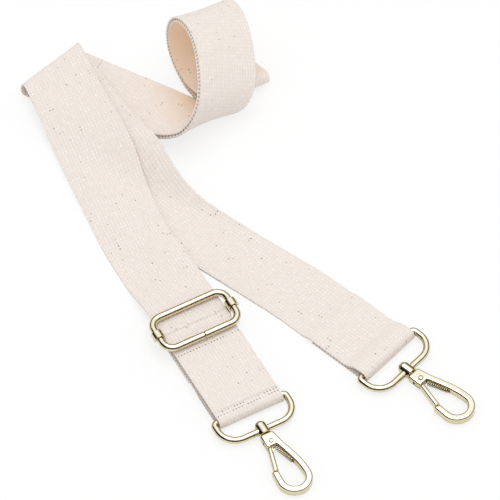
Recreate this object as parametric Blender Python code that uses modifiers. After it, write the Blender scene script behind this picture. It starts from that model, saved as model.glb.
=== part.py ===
"""Detachable bag strap: one doubled band of woven webbing with a tri-glide slider and two snap hooks.

Units are metres and +Z is up. The strap lies on a flat surface at Z = 0. Snap hook B's ring lies along
back_heading from the origin, and the back run ends there. The band is followed from the ring: back to
the fold, through the rolled-up middle, and out to snap hook A.
"""

import math

import bmesh
import bpy
from mathutils import Matrix, Quaternion, Vector

# Webbing
webbing_width = 0.038
webbing_thickness = 0.0015
seat_gap = 0.0003
columns_across = 6

# Back run, from the fold to snap hook B
back_heading = math.radians(-41.8)
back_middle_heading = math.radians(-35.5)
back_fold_heading = math.radians(-58.2)
back_origin_to_ring = 0.080
back_length = 0.2546
back_course_steps = 260
# Each row: how far back along the run from the ring, then the run's heading there
back_course_shares = (
    (0.000, back_heading),
    (0.177, back_heading),
    (0.275, back_middle_heading),
    (0.511, back_middle_heading),
    (0.668, back_fold_heading),
)
back_tail_length = 0.035
tail_step_length = 0.009
bar_climb_length = 0.011

# Fold at the left, where both layers turn over
doubled_heading = math.radians(-27.1)
fold_inner_radius = 0.0019
fold_bulge_trim = 0.0008
fold_settle_length = 0.028
drape_fall_length = 0.028
drape_reach = 0.0745
drape_slack = 0.0011
front_drape_slack = 0.0011

# Rolled-up middle of the band: how far it runs from the fold, and how it bends and twists on the way
roll_start = 0.007
roll_run = 0.224
roll_end_radius = 0.0032
roll_spread_length = 0.034
roll_steps = 72
# Each row: how far along the run, then the turns of bend and of twist that the whole run would have
roll_curl_shares = (
    (0.00, -0.18, 0.00),
    (0.11, 0.33, -0.16),
    (0.18, -0.05, -0.21),
    (0.27, 0.12, -0.19),
    (0.36, 1.60, -0.85),
    (0.45, 1.84, -0.53),
    (0.54, 0.58, -0.02),
    (0.62, 0.93, -0.36),
    (0.71, 2.37, -0.73),
    (0.80, 1.63, -0.01),
    (0.89, 1.52, 0.25),
    (1.00, 1.33, -0.53),
)

# Front run, from the fold to the slider and on to snap hook A
front_fold_heading = math.radians(-67.5)
front_heading = math.radians(-61.5)
front_fold_to_bend = 0.118
front_bend_to_slider = 0.0631
front_bend_length = 0.030
front_side_fall_length = 0.022
lead_run_length = 0.044
lead_climb_end = 0.015
slider_to_ring = 0.0594
slider_tail_length = 0.028
ring_loop_tab = 0.004

# Slider
slider_wire_radius = 0.0020
slider_length = 0.0212
slider_side_room = 0.0028
slider_corner_radius = 0.0060
bar_width = 0.0050
bar_thickness = 0.0020
clip_width = 0.0070
clip_wall = 0.0009

# Ring of a snap hook
ring_wire_radius = 0.0019
ring_depth = 0.0150
ring_side_room = 0.0022
ring_back_corner_radius = 0.0021
ring_front_corner_radius = 0.0100
ring_droop = math.radians(0.9)
boss_radius = 0.00335
boss_back = 0.0034
boss_front = 0.0040

# Swivel stem
stem_radius = 0.0015
stem_head_radius = 0.0027
stem_head_thickness = 0.0016

# Hook body
hook_thickness = 0.0048
hook_edge_round = 0.0009
hook_start = 0.0043
hook_neck_half_width = 0.0039
hook_block_end = 0.0120
hook_length = 0.0452
hook_half_width = 0.0097
hook_widening_power = 1.5
arm_width = 0.0039
nose_start = 0.0275
nose_width = 0.0036
spring_seat_depth = 0.0031
spring_seat_end = 0.0252
slot_width = 0.0022
slot_floor = 0.0072
slot_side = 0.0034

# Gate
gate_pin_place = 0.0092
gate_pin_radius = 0.0008
gate_pin_head_radius = 0.0013
gate_pin_head_thickness = 0.0005
gate_eye_radius = 0.0017
gate_eye_thickness = 0.0016
gate_thickness = 0.0036
gate_width = 0.0026
gate_side = 0.0066
gate_tip_gap = 0.0004
gate_tip_slant = 0.0009
gate_heel_reach = 0.0028
gate_heel_side = 0.0019

# Gate spring
spring_wire_radius = 0.00026
spring_radius = 0.00115
spring_turns = 11
spring_points_per_turn = 9

# Stitching
thread_radius = 0.00028
stitch_length = 0.0030
stitch_edge_margin = 0.0035
stitch_row_gap = 0.0040
stitch_rows = 2

# Sizes that follow from the ones above: the webbing passes through the slider and the ring
slider_span = webbing_width + 2 * slider_side_room
ring_span = webbing_width + 2 * ring_side_room
half_width = webbing_width / 2
half_thickness = webbing_thickness / 2
layer_pitch = webbing_thickness + seat_gap
doubled_height = half_thickness + layer_pitch / 2
fold_outer_radius = fold_inner_radius + layer_pitch
back_fold_top = half_thickness + layer_pitch + 2 * fold_inner_radius
front_fold_top = back_fold_top + layer_pitch
ring_bar_height = webbing_thickness + seat_gap + ring_wire_radius
ring_loop_radius = ring_wire_radius + seat_gap + half_thickness
over_ring_height = ring_bar_height + ring_loop_radius
sewn_loop_radius = bar_thickness / 2 + seat_gap + half_thickness
bar_height = half_thickness + sewn_loop_radius
over_bar_height = bar_height + sewn_loop_radius
slider_height = over_ring_height + half_thickness + seat_gap + slider_wire_radius


def clear_scene():
    for scene_object in list(bpy.data.objects):
        bpy.data.objects.remove(scene_object, do_unlink=True)


def new_collection(name):
    group = bpy.data.collections.new(name)
    bpy.context.scene.collection.children.link(group)
    return group


clear_scene()
strap_parts = new_collection("bag_strap")
strap_cutters = new_collection("bag_strap_cutters")


def new_material(name, colour, roughness, metallic):
    material = bpy.data.materials.new(name)
    material.use_nodes = True
    surface = material.node_tree.nodes["Principled BSDF"]
    surface.inputs["Base Color"].default_value = (*colour, 1.0)
    surface.inputs["Roughness"].default_value = roughness
    surface.inputs["Metallic"].default_value = metallic
    return material


def add_part(name, mesh, material, parent=None):
    part = bpy.data.objects.new(name, mesh)
    strap_parts.objects.link(part)
    mesh.materials.clear()
    mesh.materials.append(material)
    part.parent = parent
    return part


def add_axis(name, matrix):
    axis = bpy.data.objects.new(name, None)
    strap_parts.objects.link(axis)
    axis.matrix_world = matrix
    return axis


def heading_vector(heading):
    return Vector((math.cos(heading), math.sin(heading), 0.0))


def left_vector(heading):
    return Vector((-math.sin(heading), math.cos(heading), 0.0))


def smooth_step(share):
    share = min(max(share, 0.0), 1.0)
    return share * share * (3 - 2 * share)


def between(table, place):
    """Reads a table of rows that start with a place, in a straight line between its rows."""
    for low, high in zip(table, table[1:]):
        if place <= high[0]:
            share = (place - low[0]) / (high[0] - low[0])
            return [a + (b - a) * share for a, b in zip(low[1:], high[1:])]
    return list(table[-1][1:])


# Webbing solids: an open surface of rows across the band, given its thickness

def ribbon(name, rows, material, parent=None):
    mesh = bpy.data.meshes.new(name)
    surface = bmesh.new()
    grid = [[surface.verts.new(point) for point in row] for row in rows]
    for row, next_row in zip(grid, grid[1:]):
        for index in range(len(row) - 1):
            corners = (row[index], next_row[index], next_row[index + 1], row[index + 1])
            surface.faces.new(corners)
    surface.to_mesh(mesh)
    surface.free()
    part = add_part(name, mesh, material, parent)
    wall = part.modifiers.new("webbing thickness", "SOLIDIFY")
    wall.thickness = webbing_thickness
    wall.offset = 0.0
    wall.use_even_offset = True
    return part


def across(right, left, columns=columns_across):
    return [right.lerp(left, column / columns) for column in range(columns + 1)]


def profile_rows(profile):
    """Rows across a straight band whose side view is a list of places along it and heights."""
    right = -half_width
    return [[Vector((x, right, z)), Vector((x, -right, z))] for x, z in profile]


def half_turn(centre_x, centre_z, radius, first, last, steps):
    """Side view of a turn round a bar, by the angle from straight down, towards +X."""
    turn = []
    for step in range(steps + 1):
        angle = first + (last - first) * step / steps
        turn.append((centre_x + radius * math.sin(angle), centre_z - radius * math.cos(angle)))
    return turn


# Layout: the back run leads from the ring of snap hook B back to the fold

ring_b_point = back_origin_to_ring * heading_vector(back_heading)


def back_course():
    """Middles of the back run, in even steps from the ring back to the fold."""
    course = [ring_b_point]
    for step in range(back_course_steps):
        heading, = between(back_course_shares, (step + 1 / 2) / back_course_steps)
        course.append(course[-1] - back_length / back_course_steps * heading_vector(heading))
    return course


back_middles = back_course()
back_fold_point = back_middles[-1]


def crease_heading(run_heading):
    """A band that arrives against doubled_heading and leaves along run_heading folds on this line."""
    return (run_heading + doubled_heading + math.pi) / 2


def crease_half_length(run_heading):
    return half_width / math.sin(crease_heading(run_heading) - doubled_heading)


far_corner = back_fold_point + (
    crease_half_length(back_fold_heading) * heading_vector(crease_heading(back_fold_heading))
)
front_fold_point = far_corner - (
    crease_half_length(front_fold_heading) * heading_vector(crease_heading(front_fold_heading))
)


def crease_outward(run_heading):
    return left_vector(crease_heading(run_heading))


def crease_inset(point, fold_point, run_heading):
    """How far a point lies inside the crease line."""
    return (fold_point - point).dot(crease_outward(run_heading))


def crease_corners(fold_point, run_heading):
    """The near and far ends of a crease, which are the right and left edges of the doubled band."""
    reach = crease_half_length(run_heading) * heading_vector(crease_heading(run_heading))
    return fold_point - reach, fold_point + reach


# Rolled-up middle: a path that bends and twists at the rates in roll_curl_shares

def roll_path():
    along = heading_vector(doubled_heading)
    aside = left_vector(doubled_heading)
    up = Vector((0.0, 0.0, 1.0))
    place = front_fold_point + roll_start * along
    place.z = doubled_height
    stations = [(place.copy(), along.copy(), aside.copy(), up.copy())]
    full_turn = 2 * math.pi
    for step in range(roll_steps):
        bend, twist = between(roll_curl_shares, (step + 1 / 2) / roll_steps)
        turn = full_turn / roll_steps * (twist * along - bend * aside)
        half = Quaternion(turn.normalized(), turn.length / 2)
        place = place + roll_run / roll_steps * (half @ along)
        whole = half @ half
        along = whole @ along
        aside = whole @ aside
        up = whole @ up
        stations.append((place.copy(), along.copy(), aside.copy(), up.copy()))
    return [lifted_off_floor(step, station) for step, station in enumerate(stations)]


def lifted_off_floor(step, station):
    place, along, aside, up = station
    reach = half_width * abs(aside.z) + layer_offset(step) * abs(up.z) + half_thickness
    lift = max(0.0, reach - place.z)
    return place + Vector((0.0, 0.0, lift)), along, aside, up


def layer_offset(step):
    """How far each layer's middle lies from the path: it widens towards the turn at the end."""
    spread_start = roll_run - roll_spread_length
    share = smooth_step((roll_run * step / roll_steps - spread_start) / roll_spread_length)
    return layer_pitch / 2 + share * (roll_end_radius - layer_pitch / 2)


stations = roll_path()


def layer_row(step, side):
    place, along, aside, up = stations[step]
    middle = place + side * layer_offset(step) * up
    return [middle - half_width * aside, middle + half_width * aside]


def end_turn_rows(steps):
    place, along, aside, up = stations[-1]
    rows = []
    for step in range(1, steps):
        angle = math.pi * step / steps
        middle = place + roll_end_radius * (math.sin(angle) * along - math.cos(angle) * up)
        rows.append([middle - half_width * aside, middle + half_width * aside])
    return rows


def crease_row(fold_point, run_heading, height):
    """Where the doubled band meets a fold, a gap short of the crease."""
    setback = seat_gap * crease_outward(run_heading)
    return [corner - setback + Vector((0.0, 0.0, height)) for corner in
            crease_corners(fold_point, run_heading)]


def build_roll(material):
    lower = half_thickness
    upper = half_thickness + layer_pitch
    rows = [crease_row(front_fold_point, front_fold_heading, lower)]
    rows += [layer_row(step, -1) for step in range(roll_steps + 1)]
    rows += end_turn_rows(8)
    rows += [layer_row(step, 1) for step in range(roll_steps, -1, -1)]
    rows.append(crease_row(back_fold_point, back_fold_heading, upper))
    return ribbon("webbing_roll", rows, material)


# Drape: the height of the back run over the doubled band, and of the front run over the back run

def edge_table(side):
    """Places along the doubled band, with one edge's offset to the left and its height."""
    table = []
    for place, along, aside, up in stations:
        edge = place + side * half_width * aside - front_fold_point
        reach = edge.dot(heading_vector(doubled_heading))
        if table and (reach <= table[-1][0] or reach > drape_reach):
            break
        table.append((reach, edge.dot(left_vector(doubled_heading)), edge.z))
    return table


near_edge_table = edge_table(-1)
far_edge_table = edge_table(1)


def doubled_height_at(point):
    """Height of the doubled band's middle at a point, and how far the point lies past its near edge."""
    offset = point - front_fold_point
    reach = max(offset.dot(heading_vector(doubled_heading)), near_edge_table[0][0])
    near_side, near_height = between(near_edge_table, reach)
    far_side, far_height = between(far_edge_table, reach)
    side = offset.dot(left_vector(doubled_heading))
    share = min(max((side - near_side) / (far_side - near_side), 0.0), 1.0)
    return near_height + share * (far_height - near_height), max(0.0, near_side - side)


def back_height_at(point):
    inner, past = doubled_height_at(point)
    over = inner + 3 * layer_pitch / 2 + drape_slack
    fallen = smooth_step(past / drape_fall_length)
    laid = over + (half_thickness - over) * fallen
    inset = crease_inset(point, back_fold_point, back_fold_heading)
    return laid + (back_fold_top - laid) * (1 - smooth_step(inset / fold_settle_length))


def back_station(distance):
    """Middle of the back run and its heading, by the distance from the fold."""
    share = 1 - distance / back_length
    heading, = between(back_course_shares, share)
    if share <= 0.0:
        return ring_b_point - share * back_length * heading_vector(heading), heading
    position = share * back_course_steps
    step = min(int(position), back_course_steps - 1)
    return back_middles[step].lerp(back_middles[step + 1], position - step), heading


drape_steps = 34
lead_steps = 10
flat_from = back_length - back_tail_length - tail_step_length - seat_gap


def back_row(distance, columns=columns_across):
    middle, heading = back_station(distance)
    aside = half_width * left_vector(heading)
    return across(middle - aside, middle + aside, columns)


back_left_edge = [back_row(flat_from * step / drape_steps)[0] for step in range(drape_steps + 1)]


def inside_back_run(point):
    """Signed distance from the back run's lower edge, positive over the run."""
    nearest = None
    for start, end in zip(back_left_edge, back_left_edge[1:]):
        run = (end - start).normalized()
        offset = point - start
        reach = min(max(offset.dot(run), 0.0), (end - start).length)
        distance = (offset - reach * run).length
        side = run.cross(offset).z
        if nearest is None or distance < abs(nearest):
            nearest = math.copysign(distance, side)
    return nearest


def front_height_at(point):
    inside = inside_back_run(point)
    over = back_height_at(point) + layer_pitch + front_drape_slack
    fallen = smooth_step(-inside / front_side_fall_length)
    laid = over + (half_thickness - over) * fallen
    inner, past = doubled_height_at(point)
    if past == 0.0:
        laid = max(laid, inner + 3 * layer_pitch / 2 + drape_slack)
    inset = crease_inset(point, front_fold_point, front_fold_heading)
    return laid + (front_fold_top - laid) * (1 - smooth_step(inset / fold_settle_length))


# Folds: the band turns over on a crease that its edges cross at a slant

def fold_rows(fold_point, run_heading, radius, base_height, steps):
    outward = crease_outward(run_heading)
    corners = crease_corners(fold_point, run_heading)
    first = seat_gap / 2 / radius
    rows = []
    for step in range(steps + 1):
        angle = first + (math.pi - first) * step / steps
        shift = (radius - fold_bulge_trim) * math.sin(angle) * outward
        shift.z = base_height + radius * (1 - math.cos(angle))
        rows.append(across(corners[0] + shift, corners[1] + shift))
    return rows


def draped(row, height_at):
    return [Vector((point.x, point.y, height_at(point))) for point in row]


def build_back_run(material):
    base = half_thickness + layer_pitch
    rows = fold_rows(back_fold_point, back_fold_heading, fold_inner_radius, base, 10)
    first = crease_half_length(back_fold_heading) * abs(
        math.cos(crease_heading(back_fold_heading) - back_fold_heading)
    ) + fold_inner_radius
    for step in range(drape_steps + 1):
        distance = first + (flat_from - first) * step / drape_steps
        rows.append(draped(back_row(distance), back_height_at))
    side_view = back_end_profile()
    for place, height in side_view:
        row = back_row(back_length + place)
        rows.append([point + Vector((0.0, 0.0, height)) for point in row])
    return ribbon("webbing_back_run", rows, material)


def back_end_profile():
    """Side view of the sewn end at snap hook B, by the distance past the ring's bar."""
    step_up = -back_tail_length - tail_step_length
    climb = -bar_climb_length - ring_loop_radius
    on_tail = half_thickness + layer_pitch
    profile = [(step_up, half_thickness)]
    profile += climb_profile(step_up, tail_step_length, half_thickness, on_tail, 4)
    profile.append((climb, on_tail))
    profile += climb_profile(climb, bar_climb_length, on_tail, over_ring_height, 5)
    turn = half_turn(0.0, ring_bar_height, ring_loop_radius, math.pi, 0.0, 9)
    profile += turn
    profile.append((-back_tail_length, half_thickness))
    return profile


def climb_profile(start, length, low, high, steps):
    return [(start + length * step / steps, low + (high - low) * smooth_step(step / steps))
            for step in range(1, steps + 1)]


def front_station(distance):
    """Middle of the front run and its heading, by the distance from the fold."""
    bend_start = front_fold_to_bend - front_bend_length / 2
    corner = front_fold_point + front_fold_to_bend * heading_vector(front_fold_heading)
    if distance <= bend_start:
        place = front_fold_point + distance * heading_vector(front_fold_heading)
        return place, front_fold_heading
    if distance >= bend_start + front_bend_length:
        place = corner + (distance - front_fold_to_bend) * heading_vector(front_heading)
        return place, front_heading
    share = (distance - bend_start) / front_bend_length
    first = front_fold_point + bend_start * heading_vector(front_fold_heading)
    last = corner + front_bend_length / 2 * heading_vector(front_heading)
    heading = front_fold_heading + smooth_step(share) * (front_heading - front_fold_heading)
    return first.lerp(corner, share).lerp(corner.lerp(last, share), share), heading


def front_row(distance):
    middle, heading = front_station(distance)
    aside = half_width * left_vector(heading)
    return across(middle - aside, middle + aside)


front_length = front_fold_to_bend + front_bend_to_slider
slider_point = front_station(front_length)[0]


def build_front_run(material):
    rows = fold_rows(front_fold_point, front_fold_heading, fold_outer_radius, half_thickness, 12)
    first = crease_half_length(front_fold_heading) * abs(
        math.cos(crease_heading(front_fold_heading) - front_fold_heading)
    ) + fold_outer_radius / 2
    last = front_length - lead_run_length - seat_gap
    for step in range(drape_steps + 1):
        distance = first + (last - first) * step / drape_steps
        rows.append(draped(front_row(distance), front_height_at))
    return ribbon("webbing_front_run", rows, material)


# Straight stretches of webbing at the slider, in the slider's own frame

def lead_rows():
    """The lead run starts at the front run's height and climbs to the height over ring A."""
    right = Vector((0.0, -half_width, 0.0))
    rows = []
    for step in range(lead_steps + 1):
        place = -lead_run_length + (lead_run_length - lead_climb_end) * step / lead_steps
        share = smooth_step(step / lead_steps)
        row = []
        for spot, point in zip(across(right, -right), front_row(front_length + place)):
            height = front_height_at(point)
            row.append(Vector((place, spot.y, height + share * (over_ring_height - height))))
        rows.append(row)
    rows.append([Vector((-seat_gap / 2, point.y, point.z)) for point in rows[-1]])
    return rows


def build_slider_runs(material, slider_axis, end_axis):
    ribbon("webbing_lead_run", lead_rows(), material, slider_axis)

    loop_start = slider_to_ring - ring_loop_tab
    adjust = [(seat_gap / 2, over_ring_height), (loop_start - seat_gap, over_ring_height)]
    ribbon("webbing_adjust_run", profile_rows(adjust), material, slider_axis)

    on_tail = half_thickness + layer_pitch
    half_bar = bar_width / 2 - bar_thickness / 4
    sewn = [(slider_tail_length, half_thickness)]
    turn = half_turn(-half_bar, bar_height, sewn_loop_radius, 0.0, -math.pi, 8)
    sewn += turn
    sewn.append((half_bar, over_bar_height))
    sewn += climb_profile(half_bar, bar_width, over_bar_height, on_tail, 5)
    sewn_end = slider_tail_length + tail_step_length / 2
    sewn.append((sewn_end, on_tail))
    ribbon("webbing_sewn_end", profile_rows(sewn), material, slider_axis)

    back = [(sewn_end + seat_gap, on_tail)]
    back += climb_profile(sewn_end + seat_gap, tail_step_length, on_tail, half_thickness, 4)
    back.append((loop_start - seat_gap, half_thickness))
    ribbon("webbing_return_run", profile_rows(back), material, slider_axis)

    ring_loop = [(-ring_loop_tab, over_ring_height)]
    ring_loop += half_turn(0.0, ring_bar_height, ring_loop_radius, math.pi, 0.0, 9)
    ring_loop.append((-ring_loop_tab, half_thickness))
    ribbon("webbing_ring_loop", profile_rows(ring_loop), material, end_axis)


# Wires and turned pieces

def wire(name, points, radius, cyclic, material, parent=None, resolution=2):
    curve = bpy.data.curves.new(name, "CURVE")
    curve.dimensions = "3D"
    curve.bevel_depth = radius
    curve.bevel_resolution = resolution
    curve.use_fill_caps = not cyclic
    spline = curve.splines.new("POLY")
    spline.points.add(len(points) - 1)
    for spot, point in zip(spline.points, points):
        spot.co = (*point, 1.0)
    spline.use_cyclic_u = cyclic
    part = bpy.data.objects.new(name, curve)
    strap_parts.objects.link(part)
    curve.materials.append(material)
    part.parent = parent
    return part


def mesh_of(part):
    """Turns a curve object into a mesh object with its caps welded on."""
    bpy.context.view_layer.update()
    evaluated = part.evaluated_get(bpy.context.evaluated_depsgraph_get())
    mesh = bpy.data.meshes.new_from_object(evaluated)
    solid = bmesh.new()
    solid.from_mesh(mesh)
    bmesh.ops.remove_doubles(solid, verts=solid.verts, dist=seat_gap / 100)
    bmesh.ops.recalc_face_normals(solid, faces=solid.faces)
    solid.to_mesh(mesh)
    solid.free()
    name = part.name
    parent = part.parent
    matrix = part.matrix_world.copy()
    home = part.users_collection[0]
    bpy.data.objects.remove(part, do_unlink=True)
    made = bpy.data.objects.new(name, mesh)
    home.objects.link(made)
    made.parent = parent
    made.matrix_world = matrix
    return made


def slab(name, outline, thickness, edge_round, material, parent=None):
    """A flat outline with its edges rounded, centred on its own plane."""
    curve = bpy.data.curves.new(name, "CURVE")
    curve.dimensions = "2D"
    curve.fill_mode = "BOTH"
    curve.extrude = thickness / 2 - edge_round
    curve.bevel_depth = edge_round
    curve.offset = -edge_round
    curve.bevel_resolution = 1
    spline = curve.splines.new("POLY")
    spline.points.add(len(outline) - 1)
    for spot, (x, y) in zip(spline.points, outline):
        spot.co = (x, y, 0.0, 1.0)
    spline.use_cyclic_u = True
    part = bpy.data.objects.new(name, curve)
    strap_parts.objects.link(part)
    curve.materials.append(material)
    part.parent = parent
    return mesh_of(part)


def cylinder(name, radius, start, end, direction, parent=None, segments=20):
    """A solid cylinder along a local direction, from one distance to another."""
    mesh = bpy.data.meshes.new(name)
    solid = bmesh.new()
    turn = Vector((0.0, 0.0, 1.0)).rotation_difference(direction).to_matrix().to_4x4()
    middle = Matrix.Translation((start + end) / 2 * direction)
    bmesh.ops.create_cone(
        solid, cap_ends=True, segments=segments, radius1=radius, radius2=radius,
        depth=end - start, matrix=middle @ turn,
    )
    solid.to_mesh(mesh)
    solid.free()
    part = bpy.data.objects.new(name, mesh)
    strap_parts.objects.link(part)
    part.parent = parent
    return part


def box(name, low, high, parent=None):
    mesh = bpy.data.meshes.new(name)
    solid = bmesh.new()
    bmesh.ops.create_cube(solid, size=1.0)
    size = Vector(high) - Vector(low)
    for corner in solid.verts:
        corner.co = Vector(low) + Vector([(c + 1 / 2) * s for c, s in zip(corner.co, size)])
    solid.to_mesh(mesh)
    solid.free()
    part = bpy.data.objects.new(name, mesh)
    strap_parts.objects.link(part)
    part.parent = parent
    return part


def combine(part, other, operation):
    """Joins or cuts a part with another solid, which is then only a guide."""
    change = part.modifiers.new(other.name, "BOOLEAN")
    change.operation = operation
    change.solver = "EXACT"
    change.object = other
    for group in list(other.users_collection):
        group.objects.unlink(other)
    strap_cutters.objects.link(other)
    other.hide_render = True
    other.display_type = "WIRE"


def moved(part, x, y, z):
    part.location = Vector((x, y, z))
    return part


def arc(centre, radius, first, last, steps):
    """Points of an arc by angle, in the flat."""
    points = []
    for step in range(steps + 1):
        angle = first + (last - first) * step / steps
        points.append((centre[0] + radius * math.cos(angle), centre[1] + radius * math.sin(angle)))
    return points


quarter = math.pi / 2


# Slider frame and its centre bar

def rounded_loop(length_low, length_high, span, low_radius, high_radius, steps):
    """A closed path round a rectangle whose low and high corners have their own radii."""
    side = span / 2
    points = arc((length_low + low_radius, side - low_radius), low_radius, quarter, math.pi, steps)
    points += arc((length_low + low_radius, low_radius - side), low_radius,
                  math.pi, 3 * quarter, steps)
    points += arc((length_high - high_radius, high_radius - side), high_radius,
                  -quarter, 0.0, steps)
    points += arc((length_high - high_radius, side - high_radius), high_radius,
                  0.0, quarter, steps)
    return points


def build_slider(metal, axis):
    path = rounded_loop(-slider_length / 2, slider_length / 2, slider_span,
                        slider_corner_radius, slider_corner_radius, 6)
    points = [(x, y, slider_height) for x, y in path]
    wire("slider_frame", points, slider_wire_radius, True, metal, axis)

    side = slider_span / 2
    clip_inner = slider_wire_radius + seat_gap
    clip_outer = clip_inner + clip_wall
    bar_end = side - slider_wire_radius + clip_wall / 2
    bar_low = bar_height - bar_thickness / 2
    bar = box("slider_bar", (-bar_width / 2, -bar_end, bar_low),
              (bar_width / 2, bar_end, bar_low + bar_thickness), axis)
    bar.data.materials.append(metal)
    for sign in (-1, 1):
        add_clip(bar, sign, side, clip_inner, clip_outer, axis)
    return bar


def add_clip(bar, sign, side, clip_inner, clip_outer, axis):
    """The bar's end rises beside the webbing and is rolled round the frame's side."""
    along = Vector((1.0, 0.0, 0.0))
    name = "clip_left" if sign > 0 else "clip_right"
    half = clip_width / 2
    roll = cylinder(name + "_roll", clip_outer, -half, half, along, axis)
    moved(roll, 0.0, sign * side, slider_height)
    middle = side - slider_wire_radius
    post_sides = sorted((sign * (middle - clip_wall / 2), sign * (middle + clip_wall / 2)))
    post = box(name + "_post", (-bar_width / 2, post_sides[0], bar_height - bar_thickness / 2),
               (bar_width / 2, post_sides[1], slider_height), axis)
    bore = cylinder(name + "_bore", clip_inner, -clip_width, clip_width, along, axis)
    moved(bore, 0.0, sign * side, slider_height)
    combine(bar, post, "UNION")
    combine(bar, roll, "UNION")
    combine(bar, bore, "DIFFERENCE")


# Snap hook: ring, stem, body, gate, pin and spring, in a frame on the ring's straight bar

def build_ring(name, metal, axis):
    path = rounded_loop(0.0, ring_depth, ring_span, ring_back_corner_radius,
                        ring_front_corner_radius, 7)
    points = [(x, y, 0.0) for x, y in path]
    ring = mesh_of(wire(name, points, ring_wire_radius, True, metal, axis))
    along = Vector((1.0, 0.0, 0.0))
    boss = cylinder(name + "_boss", boss_radius, ring_depth - boss_back, ring_depth + boss_front,
                    along, axis)
    bore = cylinder(name + "_bore", stem_radius + seat_gap, ring_depth - 2 * boss_back,
                    ring_depth + 2 * boss_front, along, axis)
    combine(ring, boss, "UNION")
    combine(ring, bore, "DIFFERENCE")
    return ring


def turned(name, profile, material, parent):
    """A solid turned about local X from rows of place and radius, listed from front to back."""
    mesh = bpy.data.meshes.new(name)
    outline = bmesh.new()
    corners = [outline.verts.new((radius, 0.0, place)) for place, radius in profile]
    for start, end in zip(corners, corners[1:]):
        outline.edges.new((start, end))
    outline.to_mesh(mesh)
    outline.free()
    part = add_part(name, mesh, material, parent)
    part.rotation_euler = (0.0, quarter, 0.0)
    screw = part.modifiers.new("turning", "SCREW")
    screw.axis = "Z"
    screw.steps = 20
    screw.render_steps = 20
    screw.use_merge_vertices = True
    screw.merge_threshold = seat_gap / 100
    return part


def build_stem(name, metal, swivel_axis):
    """The stem's places are counted from the middle of the ring's boss."""
    head_face = -boss_back - seat_gap
    head_back = head_face - stem_head_thickness
    stem_end = slot_floor - seat_gap
    shoulder = stem_head_radius * 3 / 4
    profile = [
        (stem_end, 0.0),
        (stem_end, stem_radius),
        (head_face, stem_radius),
        (head_face, stem_head_radius),
        (head_back + stem_head_thickness / 3, stem_head_radius),
        (head_back, shoulder),
        (head_back, 0.0),
    ]
    return turned(name, profile, metal, swivel_axis)


def hook_half_width_at(place):
    """Half the hook's outer width at a place along it, from the neck to the start of the bow."""
    share = (place - hook_start) / (hook_length - hook_half_width - hook_start)
    widening = math.sin(quarter * share) ** hook_widening_power
    return hook_neck_half_width + (hook_half_width - hook_neck_half_width) * widening


def hook_bow_points(inset, from_angle, to_angle, steps):
    """The round far end of the hook, drawn in by an inset."""
    centre = (hook_length - hook_half_width, 0.0)
    return arc(centre, hook_half_width - inset, from_angle, to_angle, steps)


def hook_side_points(inset, start, end, steps):
    """The fixed arm's side, drawn in by an inset."""
    places = [start + (end - start) * step / steps for step in range(steps + 1)]
    return [(place, hook_half_width_at(place) - inset) for place in places]


def hook_outline():
    """Outer edge down the fixed arm and round the bow to the nose, then back along the inside."""
    bow_start = hook_length - hook_half_width
    nose_side = -hook_half_width_at(nose_start)
    seat_inset = arm_width - spring_seat_depth / 2
    outer = [(hook_start, -hook_neck_half_width), (hook_start, hook_neck_half_width)]
    outer += hook_side_points(0.0, hook_block_end, bow_start, 7)
    outer += hook_bow_points(0.0, quarter, -quarter, 14)[1:]
    nose = [(nose_start - gate_tip_slant, nose_side), (nose_start, nose_side + nose_width)]
    inner = hook_bow_points(arm_width, -quarter, quarter, 13)
    inner += hook_side_points(arm_width, bow_start, spring_seat_end, 4)[1:]
    inner += hook_side_points(seat_inset, spring_seat_end, hook_block_end, 4)
    inner.append((hook_block_end, -hook_neck_half_width))
    return outer + nose + inner


def seat_side(place):
    """The side of the spring's seat in the fixed arm."""
    return hook_half_width_at(place) - arm_width + spring_seat_depth / 2


def build_hook_body(name, metal, axis):
    body = slab(name, hook_outline(), hook_thickness, hook_edge_round, metal, axis)
    up = Vector((0.0, 0.0, 1.0))
    along = Vector((1.0, 0.0, 0.0))
    slot = box(name + "_slot", (slot_floor, -2 * hook_neck_half_width, -slot_width / 2),
               (hook_block_end + gate_width, slot_side, slot_width / 2), axis)
    bore = cylinder(name + "_stem_bore", stem_radius + seat_gap, 0.0, slot_floor + seat_gap,
                    along, axis)
    pin_hole = cylinder(name + "_pin_hole", gate_pin_radius + seat_gap, -hook_thickness,
                        hook_thickness, up, axis, 16)
    moved(pin_hole, gate_pin_place, 0.0, 0.0)
    combine(body, slot, "DIFFERENCE")
    combine(body, bore, "DIFFERENCE")
    combine(body, pin_hole, "DIFFERENCE")
    return body


def build_gate_pin(name, metal, gate_axis):
    top = hook_thickness / 2 + seat_gap
    head = top + gate_pin_head_thickness
    profile = [
        (head, 0.0),
        (head, gate_pin_head_radius),
        (top, gate_pin_head_radius),
        (top, gate_pin_radius),
        (-top, gate_pin_radius),
        (-top, gate_pin_head_radius),
        (-head, gate_pin_head_radius),
        (-head, 0.0),
    ]
    pin = turned(name, profile, metal, gate_axis)
    pin.rotation_euler = (0.0, 0.0, 0.0)
    return pin


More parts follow.
